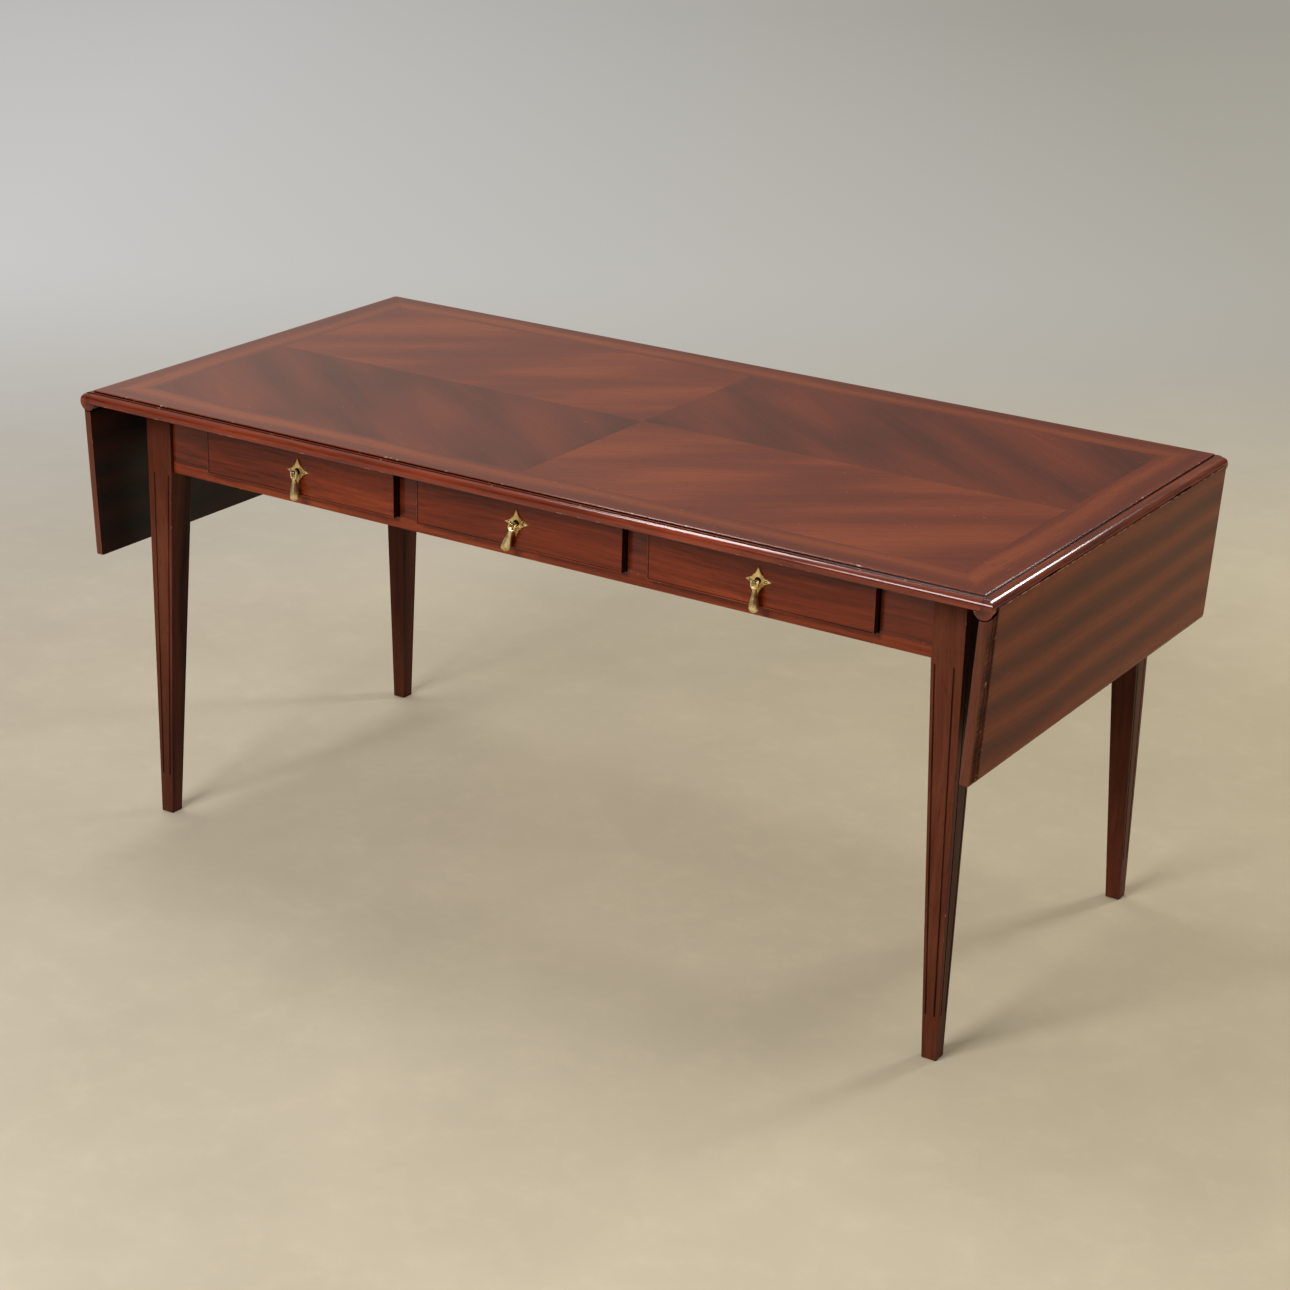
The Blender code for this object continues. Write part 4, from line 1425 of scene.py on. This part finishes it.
    def _paint_rim_glints(self, bm: BMesh) -> None:
        """Paint pale lines as highlights on the rims of the cove and on the lip, through the wear layer.

        Args:
            bm: The raised leaf.
        """
        bm.normal_update()
        wear = face_layer(bm, WEAR_AND_GLINT_LAYER)
        for face in bm.faces:
            spot = face.calc_center_median()
            if face[wear] and spot.x < 0 and spot.z > 0:
                # Pale highlight painted along the lip
                face[wear] = LIP_GLINT
        rims = [
            edge for edge in bm.edges
            if all(self._on_cove(vert) for vert in edge.verts)
            and any(abs(face.normal.y) > SQUARELY for face in edge.link_faces)
        ]
        round_edges(bm, rims, self.rim, 1, self.rim_glint)

    def _corner_cutter(self, way: int) -> BMesh:
        """Make the cutter that rounds one free corner.

        Args:
            way: Direction of the corner along Y.

        Returns:
            The cutter.
        """
        radius = self.corner
        end = self.length - radius + self.corner_bite
        side = self.places.edge_side - radius + self.corner_bite
        far_end = end + 2 * radius
        far_side = side + 2 * radius
        rounded = arc((end, side), radius, 0.0, QUARTER_TURN, self.corner_steps)
        outline = rounded + [(end, far_side), (far_end, far_side), (far_end, side)]
        return prism([(u, way * v) for u, v in outline], "Z", -self.thickness, 2 * self._top)

    @staticmethod
    def _grain(face: BMFace, point: Vector) -> Point:
        """Find a place along and across the grain, which runs along the hinge.

        Args:
            face: Face of the raised leaf.
            point: Point on it.

        Returns:
            Place along and across the grain.
        """
        if abs(face.normal.y) > MOSTLY:
            return point.x, point.y + point.z
        return point.y, point.x + point.z


@dataclass(frozen=True)
class FlutedLeg:
    """Square leg tapered on its two inner faces, with two fine flutes on each outward face."""

    places: TablePlaces
    foot: float = 17.5 * MM
    arris: float = 0.8 * MM
    flute_radius: float = 1.05 * MM
    flute_sink: float = 0.15 * MM
    flute_outer: float = 10.0 * MM
    flute_inner: float = 5.0 * MM
    flute_foot_outer: float = 5.2 * MM
    flute_foot_inner: float = 4.2 * MM
    flute_bottom: float = 53.0 * MM
    flute_top_drop: float = 4.0 * MM
    flute_segments: int = 14
    flute_rings: int = 7
    # Painted shade: in the flutes, and on the inner faces that stand in shade under the table
    flute_shade_tone: float = -0.4
    inner_shade_tone: float = -0.2

    def build(self, finish: Material) -> None:
        """Model the four legs and dress them.

        Args:
            finish: Finish with upright grain.
        """
        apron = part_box("front_bottom_rail")[0].z
        for quarter, name in enumerate(("front_left", "front_right", "back_right", "back_left")):
            low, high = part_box(f"{name}_leg")
            size = high.x - low.x
            bm = set_tone(self._blank(size, apron), PLAIN_TONE)
            for flute in self._flutes(size, apron):
                bm = combine(bm, set_tone(flute, self.flute_shade_tone), "DIFFERENCE")
            corner = Vector((low.x if low.x < 0 else high.x, low.y if low.y < 0 else high.y, 0.0))
            turn = Matrix.Rotation(quarter * QUARTER_TURN, 4, "Z")
            moved(bm, Matrix.Translation(corner) @ turn)
            inward = -math.copysign(1.0, corner.x)
            set_tone(bm, self.inner_shade_tone, lambda face: face.normal.x * inward > SQUARELY)
            place_piece(f"{name}_fluted_leg", bm, [finish], "carcass", [f"{name}_leg"])

    def _blank(self, size: float, apron: float) -> BMesh:
        """Make a tapered leg about its outer corner.

        Args:
            size: Width of the leg's head.
            apron: Height where the taper starts.

        Returns:
            The leg without flutes.
        """
        foot = self.foot
        bm = prism([(0, 0), (foot, 0), (foot, foot), (0, foot)], "Z", 0.0, apron)
        upper = max(bm.faces, key=lambda face: face.calc_center_median().z)
        widen = size / foot
        bmesh.ops.scale(bm, verts=upper.verts, vec=(widen, widen, 1.0))
        draw_out(bm, upper, (0.0, 0.0, self.places.carcass_top - apron))
        bmesh.ops.delete(bm, geom=[upper], context="FACES_ONLY")
        return soften(face_outward(bm), self.arris)

    def _flutes(self, size: float, apron: float) -> list[BMesh]:
        """Make the round-ended cutters of the flutes on the two outward faces.

        Args:
            size: Width of the leg's head.
            apron: Height where the taper starts.

        Returns:
            Four cutters.
        """
        fall = (apron - self.flute_bottom) / apron
        narrow = size - (size - self.foot) * fall
        outer = (self.flute_outer, self.flute_foot_outer)
        inner = (size - self.flute_inner, narrow - self.flute_foot_inner)
        cutters = []
        for high, low in (outer, inner):
            start = Vector((low, -self.flute_sink, self.flute_bottom))
            end = Vector((high, -self.flute_sink, apron - self.flute_top_drop))
            cutters += [self._capsule(start, end), self._capsule(start.yxz, end.yxz)]
        return cutters

    def _capsule(self, start: Vector, end: Vector) -> BMesh:
        """Make a round rod with domed ends.

        Args:
            start: Middle of its lower dome.
            end: Middle of its upper dome.

        Returns:
            The rod.
        """
        bm = bmesh.new()
        bmesh.ops.create_uvsphere(
            bm, u_segments=self.flute_segments, v_segments=self.flute_rings, radius=self.flute_radius,
        )
        upper = [vert for vert in bm.verts if vert.co.z > 0]
        bmesh.ops.translate(bm, verts=upper, vec=(0.0, 0.0, (end - start).length))
        turn = (end - start).to_track_quat("Z", "Y").to_matrix().to_4x4()
        return moved(bm, Matrix.Translation(start) @ turn)


@dataclass(frozen=True)
class Frieze:
    """Rails and stiles under the top, with softened edges."""

    arris: float = 0.6 * MM
    stile_tuck: float = 0.35 * MM

    def build(self, along: Material, rail: Material) -> None:
        """Model the boards and dress them.

        Args:
            along: Finish of the stiles and the upper rails, with the grain along X, darkened as painted
                shade.
            rail: Finish of the redder rail under the drawers.
        """
        for node, finish in (("front_bottom_rail", rail), ("front_top_rail", along), ("back_rail", along)):
            self._board(node, 0.0, finish)
        for side in SIDES:
            for kind in ("drawer", "end"):
                self._board(f"{side}_{kind}_stile", self.stile_tuck, along)

    def _board(self, node: str, tuck: float, finish: Material) -> None:
        """Make a softened board in the place of a node.

        Args:
            node: The node.
            tuck: How far the board reaches past it, above and below.
            finish: Finish of the board.
        """
        low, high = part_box(node)
        bm = soften(block(low - Z_WAY * tuck, high + Z_WAY * tuck), self.arris)
        place_piece(f"{node}_board", bm, [finish], "carcass", [node])


@dataclass(frozen=True)
class DrawerFront:
    """Drawer front with a thin cockbead along its edges; its sides and the cockbead's inner step are darkened
    as painted shade.
    """

    bead_width: float = 2.2 * MM
    bead_proud: float = 0.7 * MM
    bead_slope: float = 0.5 * MM
    arris: float = 0.4 * MM
    arris_steps: int = 3
    # Painted shade on the front's sides and on the cockbead's inner step
    side_shade_tone: float = -1.5
    bead_line_shade_tone: float = -0.7

    def build(self, name: str, finish: Material) -> None:
        """Model one front and dress it.

        Args:
            name: Name of the drawer.
            finish: Finish with the grain along X.
        """
        node = f"{name}_drawer_front"
        bm = soften(block(*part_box(node)), self.arris, self.arris_steps)
        set_tone(bm, self.side_shade_tone, lambda item: abs(item.normal.x) > SQUARELY)
        face = min(bm.faces, key=lambda item: (item.calc_center_median().y, -item.calc_area()))
        bmesh.ops.inset_region(bm, faces=[face], thickness=self.bead_width - self.arris)
        step = bmesh.ops.inset_region(bm, faces=[face], thickness=self.bead_slope, depth=-self.bead_proud)
        set_tone(bm, self.bead_line_shade_tone, lambda item: item in step["faces"])
        place_piece(f"{name}_veneered_front", bm, [finish], f"{name}_drawer_unit", [node])


@dataclass(frozen=True)
class DropPull:
    """Brass pull: a four-pointed plate, two pins, a ball-ended post with its nut and a forked drop."""

    plate_radius: float = 15.5 * MM
    plate_waist: float = 7.7 * MM
    plate_ear: float = 8.9 * MM
    plate_ear_turn: float = math.radians(7)
    plate_hollow: float = 0.7 * MM
    plate_arris: float = 0.4 * MM
    pin_out: float = 9.4 * MM
    pin_radius: float = 1.1 * MM
    pin_sink: float = 0.7 * MM
    pin_segments: int = 18
    pin_rings: int = 10
    pin_room: float = 1.8 * MM
    pin_room_share: float = 0.6
    pin_room_segments: int = 20
    seat_radius: float = 3.9 * MM
    seat_depth: float = 0.5 * MM
    # Painted dark on the ball post and its nut, standing for the ball's shaded look inside the fork
    post_shade_tone: float = 0.7
    post_radius: float = 1.8 * MM
    post_segments: int = 28
    nut_radius: float = 4.2 * MM
    nut_thickness: float = 3.0 * MM
    ball_radius: float = 2.6 * MM
    fork_gap: float = 0.5 * MM
    fork_cheek: float = 1.5 * MM
    fork_width: float = 3.0 * MM
    fork_rise: float = 2.2 * MM
    fork_seat: float = 5.0 * MM
    fork_drop: float = 8.0 * MM
    fork_arris: float = 0.5 * MM
    fork_arris_steps: int = 3
    cross_pin_radius: float = 0.9 * MM
    cross_pin_proud: float = 0.4 * MM
    cross_pin_segments: int = 18
    neck_radius: float = 2.4 * MM
    bell_radius: float = 5.4 * MM
    flare: float = 20.0 * MM
    base: float = 5.5 * MM
    curve_steps: int = 16

    def build(self, name: str, joint: dict, cast: Material, polished: Material) -> None:
        """Model one pull and dress it.

        Args:
            name: Name of its drawer.
            joint: The drop's hinge in the record.
            cast: Finish of the plate.
            polished: Finish of the pins, the post and the drop.
        """
        pivot = Vector(joint["pos_m"])
        hinge = -Vector(joint["axis"]).normalized()
        lean = Matrix((hinge, Y_WAY, hinge.cross(Y_WAY))).transposed()
        turn = Matrix.Translation(pivot) @ lean.to_4x4()
        low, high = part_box(f"{name}_pull_plate")
        post_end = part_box(f"{name}_pull_post")[1].y - pivot.y
        drawer, drop = f"{name}_drawer_unit", f"{name}_drop_unit"
        pieces = (
            ("star_plate", self._plate(low.y, high.y, pivot), cast, drawer, [f"{name}_pull_plate"]),
            ("plate_pins", self._pins(low.y, pivot), polished, drawer, []),
            ("ball_post", moved(self._post(post_end), turn), polished, drawer, [f"{name}_pull_post"]),
            ("bell_drop", moved(self._drop(), turn), polished, drop, [f"{name}_pull_drop"]),
        )
        for kind, bm, finish, body, nodes in pieces:
            place_piece(f"{name}_{kind}", bm, [finish], body, nodes)

    def _plate(self, face: float, back: float, pivot: Vector) -> BMesh:
        """Make a star with hollow sides, holed for the pins and sunk round the post, with painted shade in
        the holes and the seat.

        Args:
            face: Y of its face.
            back: Y of its back.
            pivot: Middle of the star in X and Z.

        Returns:
            The plate.
        """
        outline = []
        for quarter in range(4):
            start = quarter * QUARTER_TURN
            middle = start + QUARTER_TURN / 2
            outline += self._half_point(start, 1)
            outline.append((self.plate_ear * math.cos(middle), self.plate_ear * math.sin(middle)))
            outline += self._half_point(start + QUARTER_TURN, -1)
        bm = prism([(u + pivot.x, v + pivot.z) for u, v in outline], "Y", face, back)
        set_tone(soften(bm, self.plate_arris), PLAIN_TONE)
        depth = back - face
        hole = (-depth, depth * self.pin_room_share)
        cutters = [
            rod(self.pin_room, hole, Vector((x, face, z)), Y_WAY, self.pin_room_segments)
            for x, z in self._pin_spots(pivot)
        ]
        middle = Vector((pivot.x, face, pivot.z))
        cutters.append(rod(self.seat_radius, (-depth, self.seat_depth), middle, Y_WAY))
        # The holes and the seat take near black as painted shade; the seat stands for the drop's shadow round
        # the post
        for cutter in cutters:
            bm = combine(bm, set_tone(cutter, SHADED_BRASS), "DIFFERENCE")
        return bm

    def _half_point(self, tip_angle: float, way: int) -> list[Point]:
        """Lay one hollow side of a star's point, in the order that the outline runs.

        Args:
            tip_angle: Direction of the point's tip.
            way: 1 for the side that starts at the tip, -1 for the side that ends before it.

        Returns:
            Points of the side.
        """
        tip = spoke(self.plate_radius, tip_angle)
        waist = spoke(self.plate_waist, tip_angle + way * (QUARTER_TURN / 2 - self.plate_ear_turn))
        inward = -((tip + waist) / 2).normalized() * self.plate_hollow
        shares = [step / self.curve_steps for step in range(self.curve_steps + 1)]
        points = [tuple(tip.lerp(waist, share) + inward * 4 * share * (1 - share)) for share in shares]
        return points if way > 0 else points[:0:-1]

    def _pin_spots(self, pivot: Vector) -> list[Point]:
        """Give the middles of the two pins."""
        return [(pivot.x + way * self.pin_out, pivot.z) for way in (-1, 1)]

    def _pins(self, face: float, pivot: Vector) -> BMesh:
        """Make the domed heads of the two pins.

        Args:
            face: Y of the plate's face.
            pivot: Middle of the star in X and Z.

        Returns:
            Both heads.
        """
        heads = []
        for x, z in self._pin_spots(pivot):
            bm = bmesh.new()
            bmesh.ops.create_uvsphere(
                bm, u_segments=self.pin_segments, v_segments=self.pin_rings, radius=self.pin_radius,
            )
            heads.append(moved(bm, Matrix.Translation((x, face + self.pin_sink, z))))
        return joined(heads)

    def _post(self, end: float) -> BMesh:
        """Make the bolt along Y with a ball at its front and a nut at its back, about the pivot.

        Args:
            end: Where the nut ends.

        Returns:
            The bolt.
        """
        shoulder = math.asin(self.post_radius / self.ball_radius)
        ball = arc((0.0, 0.0), self.ball_radius, math.pi, shoulder, self.curve_steps)
        ball[0] = (-self.ball_radius, 0.0)
        nut = end - self.nut_thickness
        shank = [(nut, self.post_radius), (nut, self.nut_radius), (end, self.nut_radius), (end, 0.0)]
        return set_tone(turned(ball + shank, Vector(), Y_WAY, self.post_segments), self.post_shade_tone)

    def _drop(self) -> BMesh:
        """Make the turned drop with a fork and a cross pin, about the pivot.

        Returns:
            The drop.
        """
        neck = -self.fork_drop
        top = neck + self.fork_cheek
        bell = neck - self.flare
        profile = [(top, 0.0), (top, self.neck_radius), (neck, self.neck_radius)]
        for step in range(1, self.curve_steps + 1):
            share = step / self.curve_steps
            swell = share * share * (3 - 2 * share)
            radius = self.neck_radius + (self.bell_radius - self.neck_radius) * swell
            profile.append((neck - self.flare * share, radius))
        for step in range(1, self.curve_steps):
            angle = step / self.curve_steps * QUARTER_TURN
            profile.append((bell - self.base * math.sin(angle), self.bell_radius * math.cos(angle)))
        profile.append((bell - self.base, 0.0))
        inner = self.ball_radius + self.fork_gap
        outer = inner + self.fork_cheek
        fork = [
            (-outer, self.fork_rise), (-outer, -self.fork_seat), (-self.neck_radius, neck),
            (self.neck_radius, neck), (outer, -self.fork_seat), (outer, self.fork_rise),
            (inner, self.fork_rise), (inner, -self.fork_seat), (-inner, -self.fork_seat),
            (-inner, self.fork_rise),
        ]
        strap = prism(fork, "Y", -self.fork_width / 2, self.fork_width / 2)
        soften(strap, self.fork_arris, self.fork_arris_steps)
        half = outer + self.cross_pin_proud
        pin = rod(self.cross_pin_radius, (-half, half), Vector(), X_WAY, self.cross_pin_segments)
        return combine(combine(turned(profile, Vector(), Z_WAY), strap, "UNION"), pin, "UNION")


@dataclass(frozen=True)
class Softbox:
    """Rectangular lamp that looks at the table and that the camera doesn't see."""

    name: str
    place: Triple
    sides: Point
    watts: float
    aim: Triple = (0.0, 0.0, 0.5)

    def build(self) -> None:
        """Hang the lamp in its place."""
        data = bpy.data.lights.new(self.name, "AREA")
        data.shape = "RECTANGLE"
        data.size, data.size_y = self.sides
        data.energy = self.watts
        lamp = new_object(self.name, data)
        lamp.location = self.place
        lamp.rotation_euler = (Vector(self.place) - Vector(self.aim)).to_track_quat("Z", "Y").to_euler()
        lamp.visible_camera = False


@dataclass(frozen=True)
class Studio:
    """Camera, lamps, world and floor of the picture."""

    camera_place: Triple = (1.6729, -2.6160, 1.4717)
    azimuth: float = VIEW_TURN
    elevation: float = math.radians(21.120)
    roll: float = math.radians(1.507)
    lens_mm: float = 77.81
    sensor_mm: float = 36.0
    bright_way: Triple = (0.0, 0.20, 0.98)
    bright_limits: Point = (0.12, 1.0)
    bright_side: str = "#BDB8AC"
    dim_side: str = "#302F2E"
    glow_way: Triple = (-0.90, 0.20, 0.38)
    glow_limits: Point = (0.6, 0.95)
    glow: str = "#CFCAC0"
    floor_half: float = 30.0
    lamps: tuple[Softbox, ...] = (
        Softbox("front_left_softbox", (-0.45, -3.0, 2.25), (1.4, 1.2), 82.0),
        Softbox("back_right_softbox", (1.2, 1.9, 1.85), (0.42, 0.42), 14.0),
        Softbox("overhead_strip", (-1.4, 0.4, 3.5), (1.4, 0.36), 24.0),
    )

    def build(self) -> None:
        """Set up everything that isn't the table."""
        self._camera()
        for lamp in self.lamps:
            lamp.build()
        self._world()
        self._floor()
        bpy.context.scene.view_settings.view_transform = "Standard"

    def _camera(self) -> None:
        """Set the camera at the viewing angle of the photograph."""
        a, e = self.azimuth, self.elevation
        level = Vector((math.cos(a), math.sin(a), 0.0))
        back = Vector((math.sin(a) * math.cos(e), -math.cos(a) * math.cos(e), math.sin(e)))
        rise = back.cross(level)
        right = level * math.cos(self.roll) + rise * math.sin(self.roll)
        up = rise * math.cos(self.roll) - level * math.sin(self.roll)
        data = bpy.data.cameras.new("camera")
        data.sensor_width = self.sensor_mm
        data.lens = self.lens_mm
        camera = new_object("camera", data)
        turn = Matrix((right, up, back)).transposed().to_4x4()
        camera.matrix_world = Matrix.Translation(self.camera_place) @ turn
        bpy.context.scene.camera = camera

    def _world(self) -> None:
        """Light the surround: dim on the camera's side, light above and behind, lightest at the back left."""
        world = bpy.data.worlds.new("studio")
        world.use_nodes = True
        graph = Graph(world.node_tree)
        way = graph.add("ShaderNodeTexCoord").outputs["Generated"]
        share = graph.spread(graph.toward(way, self.bright_way), self.bright_limits)
        surround = graph.mix(share, self.dim_side, self.bright_side)
        glowing = graph.spread(graph.toward(way, self.glow_way), self.glow_limits, soft=True)
        graph.wire(graph.tree.nodes["Background"], {"Color": graph.mix(glowing, surround, self.glow)})
        bpy.context.scene.world = world

    def _floor(self) -> None:
        """Lay the wide pale floor."""
        bm = bmesh.new()
        bmesh.ops.create_grid(bm, x_segments=1, y_segments=1, size=self.floor_half)
        mesh = to_mesh(bm, "studio_floor")
        mesh.materials.append(StudioFloor().build())
        floor = new_object("studio_floor", mesh)


def make_finishes() -> dict[str, Material]:
    """Build the finishes of the pieces that show.

    Returns:
        Materials by the piece or the way of the grain that they are for.
    """
    recipes = {
        "lipping": Mahogany(
            "moulded_mahogany_lipping", Grain.ALONG_X, dark="#4A160A", middle="#86341A", light="#AC542C",
            lift=-0.05, rough_low=0.1, rough_high=0.14, ior=1.5, seed=3.1,
        ),
        # Darker copy of the frieze wood, as painted shade
        "along": Mahogany("frieze_mahogany_shaded", Grain.ALONG_X, lift=-0.27, rubbed=0.3, seed=3.1),
        "rail": Mahogany("bottom_rail_mahogany", Grain.ALONG_X, lift=-0.08, rubbed=0.3, gloss=0.4, seed=6.1),
        "across": Mahogany(
            "lacquered_mahogany_along_y", Grain.ALONG_Y, rough_low=0.1, rough_high=0.16, ior=1.5,
            speck_mm=3.0, speck_share=0.5, seed=1.7,
        ),
        "upright": Mahogany(
            "lacquered_mahogany_upright", Grain.UPRIGHT, dark="#2A110A", middle="#5A2D1D", light="#7C4430",
            lift=-0.05, streak_share=0.6, rough_low=0.28, rough_high=0.4, chip_start=0.68, gloss=0.12,
            seed=5.3,
        ),
        "field": Mahogany(
            "matched_mahogany_field", Grain.SHEET, Figure.BROKEN, ribbon_mm=75.0, ribbon_share=0.24,
            streak_share=0.3, mottle_share=0.3, speck_share=0.5,
        ),
        # Its paler worn colour makes the chips along the top's crest also paint the arris highlight
        "border": Mahogany(
            "mahogany_border", Grain.SHEET, light="#A65327", worn="#CDB49C", lift=0.04, ribbon_mm=46.0,
            ribbon_share=0.22, ribbon_drift=0.5, ribbon_phase=5.19, streak_mm=5.0, streak_share=0.35,
            speck_share=0.5,
        ),
        "leaf": Mahogany(
            "ribbon_mahogany_leaf", Grain.SHEET, lift=0.02, ribbon_mm=42.0, ribbon_share=0.32,
            ribbon_drift=2.0, ribbon_phase=0.15, streak_share=0.3, mottle_share=0.4, speck_share=0.4,
            gloss=0.1,
        ),
        "front": Mahogany(
            "drawer_front_mahogany", Grain.ALONG_X, lift=-0.08, rubbed=0.4, gloss=0.4, seed=8.4,
        ),
        # Underside of the hanging leaves, made dark and dull as painted shade
        "back": Mahogany(
            "shaded_mahogany_underside", Grain.SHEET, lift=-0.46, ribbon_share=0.06, streak_share=0.2,
            rough_low=0.45, rough_high=0.6,
        ),
        "edge": Mahogany(
            "leaf_edge_mahogany", Grain.SHEET, dark="#2A110A", middle="#5C2D1C", light="#7E4630",
            streak_share=0.5, rough_low=0.22, rough_high=0.32, gloss=0.4,
        ),
        "brass": AgedBrass(),
        "polished": AgedBrass(
            "polished_brass", bright="#F8EBC0", dull="#E8D29A", tarnish="#B89A5C", grit_depth=0.01 * MM,
            rough_low=0.26, rough_high=0.34,
        ),
    }
    return {key: recipe.build() for key, recipe in recipes.items()}


def dress_nodes(nodes: dict[str, Object], names: Sequence[str], finish: Material) -> None:
    """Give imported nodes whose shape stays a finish.

    Args:
        nodes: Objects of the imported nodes.
        names: Nodes to dress.
        finish: Their finish.
    """
    for name in names:
        nodes[name].material_slots[0].material = finish
        LOG.info("%s: kept, in %s", name, finish.name)


def dress_hidden_work(nodes: dict[str, Object], brass: Material, rails: Material) -> None:
    """Finish the nodes inside the table.

    Args:
        nodes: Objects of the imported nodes.
        brass: Finish of the hinges.
        rails: Finish of the end rails.
    """
    pale = {"dark": "#8A6A45", "middle": "#B8955F", "light": "#D2B583", "worn": "#D8C49C"}
    pale |= {"rough_low": 0.5, "rough_high": 0.7, "ribbon_share": 0.15}
    along_x = Mahogany("pale_lining_along_x", Grain.ALONG_X, **pale).build()
    along_y = Mahogany("pale_lining_along_y", Grain.ALONG_Y, **pale).build()
    for name in DRAWERS:
        dress_nodes(nodes, [f"{name}_drawer_{side}_side" for side in SIDES], along_y)
        dress_nodes(nodes, [f"{name}_drawer_{part}" for part in ("back", "bottom")], along_x)
    for side in SIDES:
        dress_nodes(nodes, [f"{side}_{kind}_runner" for kind in ("middle", "end")], along_y)
        dress_nodes(nodes, [f"{side}_bearer"], along_x)
        dress_nodes(nodes, [f"{side}_end_rail"], rails)
        for end in ("front", "back"):
            dress_nodes(nodes, [f"{side}_{end}_hinge_{half}_flap" for half in ("top", "leaf")], brass)


def main() -> None:
    """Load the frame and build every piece."""
    logging.basicConfig(level=logging.INFO, format="%(message)s")
    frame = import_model()
    places = TablePlaces.read(frame)
    profile = EdgeProfile()
    finish = make_finishes()
    VeneeredTop(places, profile).build(finish["field"], finish["border"])
    TopEdges(places, profile).build(finish["lipping"], finish["across"])
    DropLeaf(places, profile).build(finish["leaf"], finish["back"], finish["edge"])
    FlutedLeg(places).build(finish["upright"])
    Frieze().build(finish["along"], finish["rail"])
    hinges = {joint["name"]: joint for joint in frame["joints"]}
    for name in DRAWERS:
        DrawerFront().build(name, finish["front"])
        DropPull().build(name, hinges[f"{name}_drop_hinge"], finish["brass"], finish["polished"])
    dress_hidden_work(frame["nodes"], finish["brass"], finish["across"])
    Studio().build()


if __name__ == "__main__":
    main()
